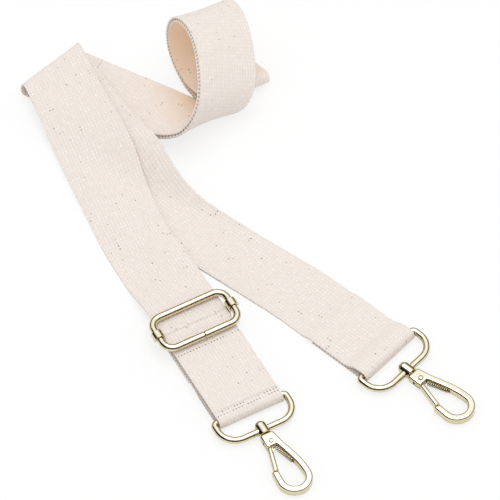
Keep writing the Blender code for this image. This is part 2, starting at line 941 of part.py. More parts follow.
def build_gate(name, metal, gate_axis):
    """A tongue from its eye on the pin to just short of the nose, with a heel for the spring."""
    tip = nose_start - gate_tip_gap - gate_pin_place
    clear = hook_block_end + gate_width - gate_pin_place
    inner_side = -gate_side + gate_width
    tongue_outline = [
        (clear, -hook_neck_half_width - seat_gap),
        (tip - gate_tip_slant, -gate_side - gate_width / 2),
        (tip, inner_side - gate_width / 2),
        (clear, -hook_neck_half_width + gate_width),
    ]
    tongue = slab(name, tongue_outline, gate_thickness, gate_thickness / 6, metal, gate_axis)
    eye_outline = arc((0.0, 0.0), gate_eye_radius, quarter, 3 * quarter, 8)
    lower = [(clear + gate_width, -hook_neck_half_width - seat_gap),
             (clear + gate_width, -hook_neck_half_width + gate_width)]
    heel = [(gate_heel_reach, -gate_eye_radius / 2), (gate_heel_reach, gate_heel_side)]
    eye = slab(name + "_eye", eye_outline + lower + heel, gate_eye_thickness,
               gate_eye_thickness / 8, metal, gate_axis)
    hole = cylinder(name + "_hole", gate_pin_radius + seat_gap, -hook_thickness, hook_thickness,
                    Vector((0.0, 0.0, 1.0)), gate_axis, 16)
    combine(tongue, eye, "UNION")
    combine(tongue, hole, "DIFFERENCE")
    return tongue


def spring_points():
    """One unbroken helix between the gate's heel and the step in the arm, with straight ends."""
    start_place = gate_pin_place + gate_heel_reach + seat_gap + spring_wire_radius
    start = Vector((start_place, gate_heel_side / 2, 0.0))
    end = Vector((spring_seat_end - seat_gap - spring_wire_radius,
                  seat_side(spring_seat_end) - spring_radius - spring_wire_radius - seat_gap, 0.0))
    axis = (end - start).normalized()
    aside = Vector((0.0, 0.0, 1.0)).cross(axis)
    up = Vector((0.0, 0.0, 1.0))
    tail = 2 * spring_wire_radius
    run = (end - start).length - 2 * tail
    steps = spring_turns * spring_points_per_turn
    points = []
    for step in range(steps + 1):
        angle = 2 * math.pi * step / spring_points_per_turn
        middle = start + axis * (tail + run * step / steps)
        points.append(middle + spring_radius * (math.cos(angle) * aside + math.sin(angle) * up))
    first = points[0] - tail * axis
    last = points[-1] + tail * axis
    return [first] + points + [last]


def spring_gap(points):
    """Least distance from the wire's surface to itself on the next turn."""
    least = None
    for index, point in enumerate(points):
        for other in points[index + spring_points_per_turn - 2:]:
            distance = (point - other).length - 2 * spring_wire_radius
            least = distance if least is None else min(least, distance)
    return least


def build_snap_hook(tag, metal, ring_axis):
    build_ring("ring_" + tag, metal, ring_axis)
    swivel_axis = add_axis("swivel_axis_" + tag,
                           ring_axis.matrix_world @ Matrix.Translation((ring_depth, 0.0, 0.0)))
    build_stem("swivel_stem_" + tag, metal, swivel_axis)
    build_hook_body("hook_body_" + tag, metal, swivel_axis)
    gate_axis = add_axis("gate_axis_" + tag, swivel_axis.matrix_world
                         @ Matrix.Translation((gate_pin_place, 0.0, 0.0)))
    build_gate("gate_" + tag, metal, gate_axis)
    build_gate_pin("gate_pin_" + tag, metal, gate_axis)
    wire("gate_spring_" + tag, spring_points(), spring_wire_radius, False, metal, swivel_axis, 1)


# Stitching: rows of thread that hold each sewn end

def stitch_path(place, height):
    """A zigzag thread across the band, one stitch to each side in turn."""
    reach = half_width - stitch_edge_margin
    count = round(2 * reach / stitch_length)
    points = []
    for row in range(stitch_rows):
        row_points = []
        for step in range(count + 1):
            side = -reach + 2 * reach * step / count
            shift = stitch_length / 4 * (-1) ** step
            row_points.append((place + row * stitch_row_gap + shift, side, height))
        if row % 2:
            row_points.reverse()
        points += row_points
    return points


def build_stitching(name, place, height, thread, axis):
    wire(name, stitch_path(place, height), thread_radius, False, thread, axis, 1)


# Assembly

def frame_at(point, heading, height=0.0, droop=0.0):
    place = Matrix.Translation((point.x, point.y, height))
    return place @ Matrix.Rotation(heading, 4, "Z") @ Matrix.Rotation(droop, 4, "Y")


def build_strap():
    cloth = new_material("cream_webbing", (0.87, 0.80, 0.74), 0.9, 0.0)
    metal = new_material("pale_gold_plate", (0.86, 0.76, 0.52), 0.25, 1.0)
    thread = new_material("cream_thread", (0.84, 0.77, 0.70), 0.8, 0.0)

    build_roll(cloth)
    build_back_run(cloth)
    build_front_run(cloth)

    slider_axis = add_axis("slider_axis", frame_at(slider_point, front_heading))
    ring_a_point = slider_point + slider_to_ring * heading_vector(front_heading)
    ring_a_frame = frame_at(ring_a_point, front_heading, ring_bar_height, ring_droop)
    end_axis = add_axis("end_axis_a", frame_at(ring_a_point, front_heading))
    ring_a_axis = add_axis("ring_axis_a", ring_a_frame)
    build_slider_runs(cloth, slider_axis, end_axis)
    build_slider(metal, slider_axis)
    build_snap_hook("a", metal, ring_a_axis)

    ring_b_axis = add_axis("ring_axis_b", frame_at(ring_b_point, back_heading, ring_bar_height,
                                                   ring_droop))
    build_snap_hook("b", metal, ring_b_axis)

    tail_top = layer_pitch + webbing_thickness + seat_gap + thread_radius
    build_stitching("stitching_a", slider_tail_length / 2, tail_top, thread, slider_axis)
    back_axis = add_axis("stitch_axis_b", frame_at(ring_b_point, back_heading))
    stitch_place = -bar_climb_length - ring_loop_radius - 2 * stitch_row_gap
    build_stitching("stitching_b", stitch_place, tail_top, thread, back_axis)
    bpy.context.view_layer.update()


build_strap()
print("least gap of a gate spring to itself, mm:", round(1000 * spring_gap(spring_points()), 2))
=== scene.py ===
"""Looks of a detachable bag strap: woven cotton webbing, a tri-glide slider and two snap hooks.

Units are metres and +Z is up. The strap lies on the floor at Z = 0. Everything is placed from the
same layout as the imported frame: snap hook B's ring lies along back_heading from the origin.
"""
import math

import bmesh
import bpy
import numpy as np
from mathutils import Matrix, Quaternion, Vector, bvhtree


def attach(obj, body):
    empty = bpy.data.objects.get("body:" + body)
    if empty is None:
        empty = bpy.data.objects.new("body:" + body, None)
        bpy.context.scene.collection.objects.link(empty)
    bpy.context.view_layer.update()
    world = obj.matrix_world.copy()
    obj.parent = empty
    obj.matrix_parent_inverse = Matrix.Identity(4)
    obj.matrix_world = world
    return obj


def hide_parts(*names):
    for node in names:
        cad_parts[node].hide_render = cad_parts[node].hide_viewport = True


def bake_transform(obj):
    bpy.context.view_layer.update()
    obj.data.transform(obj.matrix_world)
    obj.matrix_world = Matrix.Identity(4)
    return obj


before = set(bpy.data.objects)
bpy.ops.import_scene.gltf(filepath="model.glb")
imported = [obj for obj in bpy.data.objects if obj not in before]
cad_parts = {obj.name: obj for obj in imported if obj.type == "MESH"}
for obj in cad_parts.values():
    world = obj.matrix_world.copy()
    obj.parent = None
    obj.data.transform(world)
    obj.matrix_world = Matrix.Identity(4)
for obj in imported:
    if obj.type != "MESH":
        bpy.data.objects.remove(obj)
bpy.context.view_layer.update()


# Camera: it looks down on the strap at the photograph's angle, from far off, so that parallel edges
# stay parallel. The frame is 262 mm wide where it looks.

camera_elevation = math.radians(55.0)
camera_distance = 10.0
frame_centre = Vector((-0.0115, 0.0159, 0.0))
frame_width = 0.2625


def placed(name, data):
    """A new object in the scene, at the origin."""
    thing = bpy.data.objects.new(name, data)
    bpy.context.scene.collection.objects.link(thing)
    return thing


camera = placed("camera", bpy.data.cameras.new("camera"))
bpy.context.scene.camera = camera
camera.data.lens = camera.data.sensor_width * camera_distance / frame_width
towards_camera = Vector((0.0, -math.cos(camera_elevation), math.sin(camera_elevation)))
camera.location = frame_centre + camera_distance * towards_camera
camera.rotation_euler = towards_camera.to_track_quat("Z", "Y").to_euler()


# Layout of the webbing: one band 38 mm wide lies doubled, its middle rolled up. Both halves fold
# over at the left: the back run goes to snap hook B, the front run, above it, to the slider and
# hook A.

webbing_width = 0.038
webbing_thickness = 0.0015
seat_gap = 0.0003
half_width = webbing_width / 2
half_thickness = webbing_thickness / 2
layer_pitch = webbing_thickness + seat_gap

back_heading = math.radians(-41.8)
back_middle_heading = math.radians(-35.5)
back_fold_heading = math.radians(-58.2)
back_origin_to_ring = 0.080
back_length = 0.2546
back_course_steps = 260
# Each row: how far back along the run from the ring, then the run's heading there
back_course_shares = (
    (0.000, back_heading),
    (0.177, back_heading),
    (0.275, back_middle_heading),
    (0.511, back_middle_heading),
    (0.668, back_fold_heading),
)
# Each row: how far back along the run, then how much narrower the bent band is pulled there
back_neck_shares = (
    (0.000, 0.00),
    (0.177, 0.00),
    (0.300, 0.05),
    (0.470, 0.11),
    (0.560, 0.10),
    (0.800, 0.00),
)
# Each row: how far along the front run, then how much its far side is pulled in below the crossing
front_neck_shares = (
    (0.000, 0.00),
    (0.400, 0.00),
    (0.560, 0.08),
    (0.660, 0.07),
    (0.755, 0.00),
)
back_tail_length = 0.035
tail_step_length = 0.009

front_fold_heading = math.radians(-67.5)
front_heading = math.radians(-61.5)
front_fold_to_bend = 0.118
front_bend_to_slider = 0.0631
front_bend_length = 0.030
front_side_fall_length = 0.022
slider_to_ring = 0.0594

doubled_heading = math.radians(-27.1)
fold_inner_radius = 0.0019
fold_bulge_trim = 0.0008
fold_settle_length = 0.028
drape_fall_length = 0.028
drape_reach = 0.0745
drape_slack = 0.0011

front_length = front_fold_to_bend + front_bend_to_slider
UP = Vector((0.0, 0.0, 1.0))


def heading_vector(heading):
    return Vector((math.cos(heading), math.sin(heading), 0.0))


def left_vector(heading):
    return Vector((-math.sin(heading), math.cos(heading), 0.0))


def smooth_step(share):
    share = min(max(share, 0.0), 1.0)
    return share * share * (3 - 2 * share)


def between(table, place):
    """Reads a table of rows that start with a place, in a straight line between its rows."""
    for low, high in zip(table, table[1:]):
        if place <= high[0]:
            share = (place - low[0]) / (high[0] - low[0])
            return [a + (b - a) * share for a, b in zip(low[1:], high[1:])]
    return list(table[-1][1:])


def bent_station(start, first_heading, last_heading, to_bend, bend_length, distance):
    """Middle and heading of a run that bends once, by the distance from its fold."""
    corner = start + to_bend * heading_vector(first_heading)
    bend_start = to_bend - bend_length / 2
    if distance <= bend_start:
        return start + distance * heading_vector(first_heading), first_heading
    if distance >= bend_start + bend_length:
        return corner + (distance - to_bend) * heading_vector(last_heading), last_heading
    share = (distance - bend_start) / bend_length
    first = start + bend_start * heading_vector(first_heading)
    last = corner + bend_length / 2 * heading_vector(last_heading)
    heading = first_heading + smooth_step(share) * (last_heading - first_heading)
    return first.lerp(corner, share).lerp(corner.lerp(last, share), share), heading


class Fold:
    """Where a run turns over out of the doubled band, on a slanted crease."""

    def __init__(self, heading, radius, base, side):
        self.heading = heading
        self.radius = radius
        self.base = base
        self.side = side
        crease_heading = (heading + doubled_heading + math.pi) / 2
        self.crease = heading_vector(crease_heading)
        self.outward = left_vector(crease_heading)
        self.slope = crease_heading - doubled_heading
        self.turn_length = math.pi * radius
        self.steepness = -heading_vector(heading).dot(self.outward)
        self.shear = self.turn_length * heading_vector(heading).dot(self.crease) / self.steepness
        self.start = -self.turn_length / self.steepness

    def inset(self, point):
        """How far a point lies inside the crease line."""
        return (self.point - point).dot(self.outward)

    def crease_place(self, across):
        """How far along the doubled band the crease lies, at a distance across it."""
        middle = (self.point - front_fold.point).dot(heading_vector(doubled_heading))
        return middle + across / math.tan(self.slope)


front_fold = Fold(front_fold_heading, fold_inner_radius + layer_pitch, half_thickness, -1)
back_fold = Fold(back_fold_heading, fold_inner_radius, half_thickness + layer_pitch, 1)
ring_b_point = back_origin_to_ring * heading_vector(back_heading)


def back_course():
    """Middles of the back run, in even steps from the ring back to the fold."""
    course = [ring_b_point]
    for step in range(back_course_steps):
        heading, = between(back_course_shares, (step + 1 / 2) / back_course_steps)
        course.append(course[-1] - back_length / back_course_steps * heading_vector(heading))
    return course


back_middles = back_course()
back_fold.point = back_middles[-1]
far_corner = back_fold.point + half_width / math.sin(back_fold.slope) * back_fold.crease
front_fold.point = far_corner - half_width / math.sin(front_fold.slope) * front_fold.crease
back_fold_top = back_fold.base + 2 * back_fold.radius
front_fold_top = front_fold.base + 2 * front_fold.radius


def back_station(distance):
    """Middle of the back run and its heading, by the distance from the fold."""
    share = 1 - distance / back_length
    heading, = between(back_course_shares, share)
    position = max(0.0, share * back_course_steps)
    step = min(int(position), back_course_steps - 1)
    return back_middles[step].lerp(back_middles[step + 1], position - step), heading


def front_station(distance):
    return bent_station(front_fold.point, front_fold_heading, front_heading,
                        front_fold_to_bend, front_bend_length, distance)


# Rolled-up middle of the band: both layers follow a path that leaves the folds, climbs over itself
# and ends in a flattened turn. The path bends and twists at the rates in roll_curl_shares.

roll_start = 0.007
roll_run = 0.224
roll_end_radius = 0.0032
roll_spread_length = 0.034
roll_steps = 288
# Each row: how far along the run, then the turns of bend and of twist that the whole run would have
roll_curl_shares = (
    (0.00, -0.18, 0.00),
    (0.11, 0.33, -0.16),
    (0.18, -0.05, -0.21),
    (0.27, 0.12, -0.19),
    (0.36, 1.60, -0.85),
    (0.45, 1.84, -0.53),
    (0.54, 0.58, -0.02),
    (0.62, 0.93, -0.36),
    (0.71, 2.37, -0.73),
    (0.80, 1.63, -0.01),
    (0.89, 1.52, 0.25),
    (1.00, 1.33, -0.53),
)
roll_layer_length = roll_start + roll_run
roll_half_turn = math.pi * roll_end_radius / 2


def layer_offset(run):
    """How far each layer's middle lies from the path: it widens towards the turn at the end."""
    share = smooth_step((run - roll_run + roll_spread_length) / roll_spread_length)
    return layer_pitch / 2 + share * (roll_end_radius - layer_pitch / 2)


def roll_path():
    along = heading_vector(doubled_heading)
    aside = left_vector(doubled_heading)
    up = UP.copy()
    place = front_fold.point + roll_start * along
    place.z = half_thickness + layer_pitch / 2
    path = [(place, along, aside, up)]
    for step in range(roll_steps):
        bend, twist = between(roll_curl_shares, (step + 1 / 2) / roll_steps)
        turn = 2 * math.pi / roll_steps * (twist * along - bend * aside)
        half = Quaternion(turn.normalized(), turn.length / 2)
        place = place + roll_run / roll_steps * (half @ along)
        whole = half @ half
        along, aside, up = whole @ along, whole @ aside, whole @ up
        path.append((place, along, aside, up))
    return [lifted_off_floor(step, *station) for step, station in enumerate(path)]


def lifted_off_floor(step, place, along, aside, up):
    offset = layer_offset(roll_run * step / roll_steps)
    reach = half_width * abs(aside.z) + offset * abs(up.z) + half_thickness
    return place + max(0.0, reach - place.z) * UP, along, aside, up


stations = roll_path()


def roll_layer_point(side, distance, across):
    """A point of one layer of the doubled band, by the distance from the front fold."""
    run = distance - roll_start
    if run < 0.0:
        place = front_fold.point + distance * heading_vector(doubled_heading)
        middle = place + (half_thickness + layer_pitch / 2 + side * layer_pitch / 2) * UP
        return middle + across * left_vector(doubled_heading)
    position = run / roll_run * roll_steps
    step = min(int(position), roll_steps - 1)
    near, far = stations[step], stations[step + 1]
    place, along, aside, up = [a.lerp(b, position - step) for a, b in zip(near, far)]
    return place + side * layer_offset(run) * up + across * aside


def roll_point(flat, across):
    """A point of the rolled band, by its place along the flat band from the end turn's middle."""
    if abs(flat) <= roll_half_turn:
        place, along, aside, up = stations[-1]
        angle = flat / roll_end_radius
        reach = roll_end_radius * (math.cos(angle) * along + math.sin(angle) * up)
        return place + reach + across * aside
    side = math.copysign(1.0, flat)
    return roll_layer_point(side, roll_layer_length + roll_half_turn - abs(flat), across)


# Drape: the height of the back run over the doubled band, and of the front run over the back run.
# Thick webbing bridges the step at an edge and comes down to the floor over 20 to 30 mm.

drape_steps = 26


def edge_table(side):
    """Places along the doubled band, with one edge's offset to the left and its height."""
    table = []
    for place, along, aside, up in stations:
        edge = place + side * half_width * aside - front_fold.point
        reach = edge.dot(heading_vector(doubled_heading))
        if table and (reach <= table[-1][0] or reach > drape_reach):
            break
        table.append((reach, edge.dot(left_vector(doubled_heading)), edge.z))
    return table


near_edge_table = edge_table(-1)
far_edge_table = edge_table(1)


def doubled_height_at(point):
    """Height of the doubled band at a point, and how far the point lies past its near edge."""
    offset = point - front_fold.point
    reach = max(offset.dot(heading_vector(doubled_heading)), near_edge_table[0][0])
    near_side, near_height = between(near_edge_table, reach)
    far_side, far_height = between(far_edge_table, reach)
    side = offset.dot(left_vector(doubled_heading))
    share = min(max((side - near_side) / (far_side - near_side), 0.0), 1.0)
    return near_height + share * (far_height - near_height), max(0.0, near_side - side)


def settled(laid, top, inset):
    """A run comes down from the top of its fold to where it is laid."""
    return laid + (top - laid) * (1 - smooth_step(inset / fold_settle_length))


def back_height_at(point):
    inner, past = doubled_height_at(point)
    over = inner + 3 * layer_pitch / 2 + drape_slack
    laid = over + (half_thickness - over) * smooth_step(past / drape_fall_length)
    return settled(laid, back_fold_top, back_fold.inset(point))


def back_edge_point(step):
    flat_from = back_length - back_tail_length - tail_step_length
    middle, heading = back_station(flat_from * step / drape_steps)
    return middle - half_width * left_vector(heading)


back_lower_edge = [back_edge_point(step) for step in range(drape_steps + 1)]


def inside_back_run(point):
    """Signed distance from the back run's lower edge, positive over the run."""
    nearest = None
    for start, end in zip(back_lower_edge, back_lower_edge[1:]):
        run = (end - start).normalized()
        offset = point - start
        reach = min(max(offset.dot(run), 0.0), (end - start).length)
        distance = (offset - reach * run).length
        if nearest is None or distance < abs(nearest):
            nearest = math.copysign(distance, run.cross(offset).z)
    return nearest


def front_height_at(point):
    over = back_height_at(point) + layer_pitch + drape_slack
    fallen = smooth_step(-inside_back_run(point) / front_side_fall_length)
    laid = over + (half_thickness - over) * fallen
    inner, past = doubled_height_at(point)
    if past == 0.0:
        laid = max(laid, inner + 3 * layer_pitch / 2 + drape_slack)
    return settled(laid, front_fold_top, front_fold.inset(point))


def run_point(fold, station, height_at, distance, across):
    """A point of a run, by the distance from its fold: on the floor, in the fold or before it."""
    middle, heading = station(distance)
    point = middle + across * left_vector(heading)
    inset = fold.inset(point)
    if inset < -fold.turn_length:
        before = (-fold.turn_length - inset) / fold.steepness
        return roll_layer_point(fold.side, fold.crease_place(across) + before, across)
    if inset >= 0.0:
        return point + height_at(point) * UP
    angle = math.pi + inset / fold.radius
    sheared = smooth_step(-inset / fold.turn_length) * fold.shear
    point += inset * fold.outward + sheared * fold.crease
    height = fold.base + fold.radius * (1 - math.cos(angle))
    bulge = (fold.radius - fold_bulge_trim) * math.sin(angle)
    return point + bulge * fold.outward + height * UP


# Side views of the straight stretches: at the slider the band rides over the centre bar, and both
# ends are turned round a bar and laid back on themselves.

slider_wire_radius = 0.0020
bar_width = 0.0050
bar_thickness = 0.0020
ring_wire_radius = 0.0019
lead_run_length = 0.044
lead_climb_end = 0.015
slider_tail_length = 0.028
ring_loop_tab = 0.004
bar_climb_length = 0.011
bar_arch_height = 0.0006
bar_arch_length = 0.016

ring_bar_height = webbing_thickness + seat_gap + ring_wire_radius
ring_loop_radius = ring_wire_radius + seat_gap + half_thickness
over_ring_height = ring_bar_height + ring_loop_radius
sewn_loop_radius = bar_thickness / 2 + seat_gap + half_thickness
bar_height = half_thickness + sewn_loop_radius
over_bar_height = bar_height + sewn_loop_radius
slider_height = over_ring_height + half_thickness + seat_gap + slider_wire_radius
on_tail = half_thickness + layer_pitch
profile_step = 0.0002


def climb(start, length, low, high):
    """Side view of a smooth step from one height to another."""
    count = round(length / profile_step)
    return [(start + length * step / count, low + (high - low) * smooth_step(step / count))
            for step in range(count + 1)]


def half_turn(centre_x, centre_z, radius, first, last):
    """Side view of a turn round a bar, by the angle from straight down, towards +X."""
    count = round(abs(last - first) * radius / profile_step)
    angles = [first + (last - first) * step / count for step in range(count + 1)]
    return [(centre_x + radius * math.sin(angle), centre_z - radius * math.cos(angle))
            for angle in angles]


def profile_lengths(profile):
    lengths = [0.0]
    for (x, z), (next_x, next_z) in zip(profile, profile[1:]):
        lengths.append(lengths[-1] + math.hypot(next_x - x, next_z - z))
    return lengths


def profile_surface(profile, matrix):
    """The surface of a straight stretch, by the distance along its side view."""
    lengths = profile_lengths(profile)
    xs = [x for x, z in profile]
    zs = [z for x, z in profile]

    def surface(flat, across):
        x = float(np.interp(flat, lengths, xs))
        z = float(np.interp(flat, lengths, zs))
        return matrix @ Vector((x, across, z))

    return surface


def frame_at(point, heading, height=0.0, droop=0.0):
    place = Matrix.Translation((point.x, point.y, height))
    return place @ Matrix.Rotation(heading, 4, "Z") @ Matrix.Rotation(droop, 4, "Y")


def bar_arch(x):
    """The band lifts a little where it rides over the slider's centre bar."""
    share = min(1.0, abs(2 * x / bar_arch_length))
    return bar_arch_height * (1 - smooth_step(share))


slider_point = front_station(front_length)[0]
slider_frame = frame_at(slider_point, front_heading)
ring_a_point = slider_point + slider_to_ring * heading_vector(front_heading)
end_a_frame = frame_at(ring_a_point, front_heading)
end_b_frame = frame_at(ring_b_point, back_heading)


# Woven cotton webbing: thick double weave, off-white, unbleached. Plump warp floats show as rows of
# small dots, weft loops make scalloped selvedges, and now and then a gap between yarns shows dark.
# The light on the floats, the shade between them and the dark in gaps and between selvedge loops
# are painted into the colour.

warp_pitch = 0.00175
weft_pitch = 0.0020
yarn_relief = 0.00010
quarter = math.pi / 2
selvedge_round = 0.00045
selvedge_scallop = 0.00022
float_half_width = 0.00055
float_half_length = 0.00095
fuzz_depth = 0.0001
fuzz_strength = 0.6
# Where each ends, then where it is full: a float, by its half size; a gap's painted shade, in
# millimetres; and the painted shade between two picks, by their pitch
float_fade = (1.05, 0.35)
gap_fade = (0.50, 0.20)
pick_fade = (0.27, 0.12)
# How quickly the yarns change, in waves per millimetre, and how that differs across and along them
rub_waves = 0.9
rub_stretch = (1.0, 0.6, 1.0)
slub_stretch = (1.6, 0.25, 1.0)
cluster_waves = 0.10
fuzz_waves = 2.2
# From where to where these changes count, then from how little to how much
rub_range = (0.35, 0.65, 0.30, 0.95)
cluster_range = (0.52, 0.72, 0.02, 0.20)
hole_range = (0.0, 0.14, 0.0, 0.85)
# Points of a selvedge's round, from the top down: their angle, and their place on the flat band
selvedge_angles = (50.0, 0.0, -50.0)
selvedge_places = (0.7, 1.4, 0.7)
columns_across = 2 * round((webbing_width - 2 * selvedge_round) / warp_pitch)


def linear(hex_code):
    """A colour's linear values, from its sRGB code."""
    parts = [int(hex_code[start:start + 2], 16) / 255 for start in (1, 3, 5)]
    return [part / 12.92 if part <= 0.04045 else ((part + 0.055) / 1.055) ** 2.4
            for part in parts] + [1.0]


def add_node(tree, kind, inputs=(), **settings):
    """Adds a node with its settings; its inputs, values or sockets, come in order or by name."""
    node = tree.nodes.new(kind)
    for name, value in settings.items():
        setattr(node, name, value)
    by_socket = inputs if isinstance(inputs, dict) else dict(enumerate(inputs))
    for socket, value in by_socket.items():
        if isinstance(value, bpy.types.NodeSocket):
            tree.links.new(value, node.inputs[socket])
        else:
            node.inputs[socket].default_value = value
    return node


def new_material(name, values):
    """A material with its constant values set on the shader; it returns the tree and shader too."""
    material = bpy.data.materials.new(name)
    material.use_nodes = True
    shader = material.node_tree.nodes["Principled BSDF"]
    for socket, value in values.items():
        shader.inputs[socket].default_value = value
    return material, material.node_tree, shader


def make_cotton():
    material, tree, shader = new_material("unbleached_cotton_webbing", {
        "Roughness": 0.92, "Sheen Weight": 0.10, "Sheen Roughness": 0.5,
        "Specular IOR Level": 0.25,
    })
    place = add_node(tree, "ShaderNodeUVMap", uv_map="flat_band").outputs[0]
    millimetres = add_node(tree, "ShaderNodeVectorMath", {0: place, 3: 1000.0},
                           operation="SCALE").outputs[0]
    pitches = (1000 * warp_pitch, 1000 * weft_pitch, 0.0)
    cells = add_node(tree, "ShaderNodeVectorMath",
                     (millimetres, (1 / pitches[0], 1 / pitches[1], 1.0)),
                     operation="MULTIPLY").outputs[0]

    # Plump warp floats: light dots in even rows, each a little lighter or darker than the next, and
    # some of them rubbed almost flat. The dots' extra light is painted light on the raised floats
    nearest = add_node(tree, "ShaderNodeVectorMath", (cells, (0.5, 0.5, 0.5)),
                       operation="ADD").outputs[0]
    float_cell = add_node(tree, "ShaderNodeVectorMath", (nearest,), operation="FLOOR").outputs[0]
    from_float = add_node(tree, "ShaderNodeVectorMath", (cells, float_cell),
                          operation="SUBTRACT").outputs[0]
    float_shape = add_node(tree, "ShaderNodeVectorMath",
                           (from_float, (warp_pitch / float_half_width,
                                         weft_pitch / float_half_length, 0.0)),
                           operation="MULTIPLY").outputs[0]
    float_reach = add_node(tree, "ShaderNodeVectorMath", (float_shape,),
                           operation="LENGTH").outputs["Value"]
    raised = add_node(tree, "ShaderNodeMapRange", (float_reach, *float_fade),
                      interpolation_type="SMOOTHSTEP").outputs[0]
    lightness = add_node(tree, "ShaderNodeTexWhiteNoise", {"Vector": float_cell},
                         noise_dimensions="2D").outputs["Value"]
    rubbed = add_node(tree, "ShaderNodeVectorMath", (millimetres, rub_stretch),
                      operation="MULTIPLY").outputs[0]
    rub = add_node(tree, "ShaderNodeTexNoise",
                   {"Vector": rubbed, "Scale": rub_waves, "Detail": 2.0},
                   noise_dimensions="2D").outputs[0]
    left_of_float = add_node(tree, "ShaderNodeMapRange", (rub, *rub_range)).outputs[0]
    painted_float_light = add_node(tree, "ShaderNodeMath", (raised, left_of_float),
                     operation="MULTIPLY").outputs[0]

    # Gaps between yarns, in loose clusters: a few open and dark with painted shade, more of them
    # half closed
    cell = add_node(tree, "ShaderNodeVectorMath", (cells,), operation="FLOOR").outputs[0]
    inside = add_node(tree, "ShaderNodeVectorMath", (cells,), operation="FRACTION").outputs[0]
    chance = add_node(tree, "ShaderNodeTexWhiteNoise", {"Vector": cell},
                      noise_dimensions="2D").outputs["Value"]
    clusters = add_node(tree, "ShaderNodeTexNoise",
                        {"Vector": millimetres, "Scale": cluster_waves, "Detail": 2.0},
                        noise_dimensions="2D").outputs[0]
    cluster_share = add_node(tree, "ShaderNodeMapRange", (clusters, *cluster_range)).outputs[0]
    opened = add_node(tree, "ShaderNodeAttribute", attribute_name="open_weave").outputs["Fac"]
    share = add_node(tree, "ShaderNodeMath", (cluster_share, opened), operation="ADD").outputs[0]
    spare = add_node(tree, "ShaderNodeMath", (share, chance), operation="SUBTRACT").outputs[0]
    holed = add_node(tree, "ShaderNodeMapRange", (spare, *hole_range)).outputs[0]
    centred = add_node(tree, "ShaderNodeVectorMath", (inside, (0.5, 0.5, 0.0)),
                       operation="SUBTRACT").outputs[0]
    from_gap = add_node(tree, "ShaderNodeVectorMath", (centred, pitches),
                        operation="MULTIPLY").outputs[0]
    gap_reach = add_node(tree, "ShaderNodeVectorMath", (from_gap,),
                         operation="LENGTH").outputs["Value"]
    gap = add_node(tree, "ShaderNodeMapRange", (gap_reach, *gap_fade),
                   interpolation_type="SMOOTHSTEP").outputs[0]
    hole = add_node(tree, "ShaderNodeMath", (holed, gap), operation="MULTIPLY").outputs[0]

    # Between the weft loops of a selvedge the colour is darkened as painted shade, on the side next
    # to the floor or a layer
    edge = add_node(tree, "ShaderNodeAttribute", attribute_name="painted_selvedge_shade").outputs["Fac"]
    along = add_node(tree, "ShaderNodeSeparateXYZ", (inside,)).outputs["Y"]
    from_pick = add_node(tree, "ShaderNodeMath", (along, 0.5), operation="SUBTRACT").outputs[0]
    pick_reach = add_node(tree, "ShaderNodeMath", (from_pick,), operation="ABSOLUTE").outputs[0]
    between_picks = add_node(tree, "ShaderNodeMapRange", (pick_reach, *pick_fade),
                             interpolation_type="SMOOTHSTEP").outputs[0]
    painted_pick_shade = add_node(tree, "ShaderNodeMath", (edge, between_picks),
                        operation="MULTIPLY").outputs[0]
    dark = add_node(tree, "ShaderNodeMath", (hole, painted_pick_shade), operation="MAXIMUM").outputs[0]

    slubbed = add_node(tree, "ShaderNodeVectorMath", (millimetres, slub_stretch),
                       operation="MULTIPLY").outputs[0]
    slubs = add_node(tree, "ShaderNodeTexNoise", {"Vector": slubbed, "Scale": 1.0, "Detail": 3.0},
                     noise_dimensions="2D").outputs[0]
    # The ground between floats is darker by painted shade, over its own slubbed tone; the floats'
    # crests are lighter by painted light, over their own tone
    slub_tone_and_painted_shade = add_node(tree, "ShaderNodeMix",
                      {0: slubs, 6: linear("#E6DBD2"), 7: linear("#F6ECE4")},
                      data_type="RGBA").outputs[2]
    float_tone_and_painted_light = add_node(tree, "ShaderNodeMix",
                     {0: lightness, 6: linear("#F2E9E2"), 7: linear("#FFFCFA")},
                     data_type="RGBA").outputs[2]
    yarn = add_node(tree, "ShaderNodeMix", {0: painted_float_light, 6: slub_tone_and_painted_shade, 7: float_tone_and_painted_light},
                    data_type="RGBA").outputs[2]
    # Painted bounce light: inside the roll the colour is warmer, by how enclosed each point is
    painted_warmth_share = add_node(tree, "ShaderNodeAttribute",
                       attribute_name="painted_bounce_warmth").outputs["Fac"]
    painted_warm_yarn = add_node(tree, "ShaderNodeMix", {0: painted_warmth_share, 6: yarn, 7: linear("#FFE4C8")},
                      data_type="RGBA").outputs[2]
    # Painted shade: #4E4238 in the gaps between yarns and between a selvedge's weft loops
    colour = add_node(tree, "ShaderNodeMix", {0: dark, 6: painted_warm_yarn, 7: linear("#4E4238")},
                      data_type="RGBA").outputs[2]
    tree.links.new(colour, shader.inputs["Base Color"])

    fuzz = add_node(tree, "ShaderNodeTexNoise",
                    {"Vector": millimetres, "Scale": fuzz_waves, "Detail": 4.0},
                    noise_dimensions="2D").outputs[0]
    fuzzed = add_node(tree, "ShaderNodeMath", (fuzz, raised), operation="ADD").outputs[0]
    height = add_node(tree, "ShaderNodeMath", (fuzzed, dark), operation="SUBTRACT").outputs[0]
    bump = add_node(tree, "ShaderNodeBump",
                    {"Strength": fuzz_strength, "Distance": fuzz_depth, "Height": height})
    tree.links.new(bump.outputs[0], shader.inputs["Normal"])
    return material


cotton = make_cotton()


def store(mesh, name, values):
    """Keeps a number for each point of a mesh, for its material to read."""
    mesh.attributes.new(name, "FLOAT", "POINT").data.foreach_set("value", values)


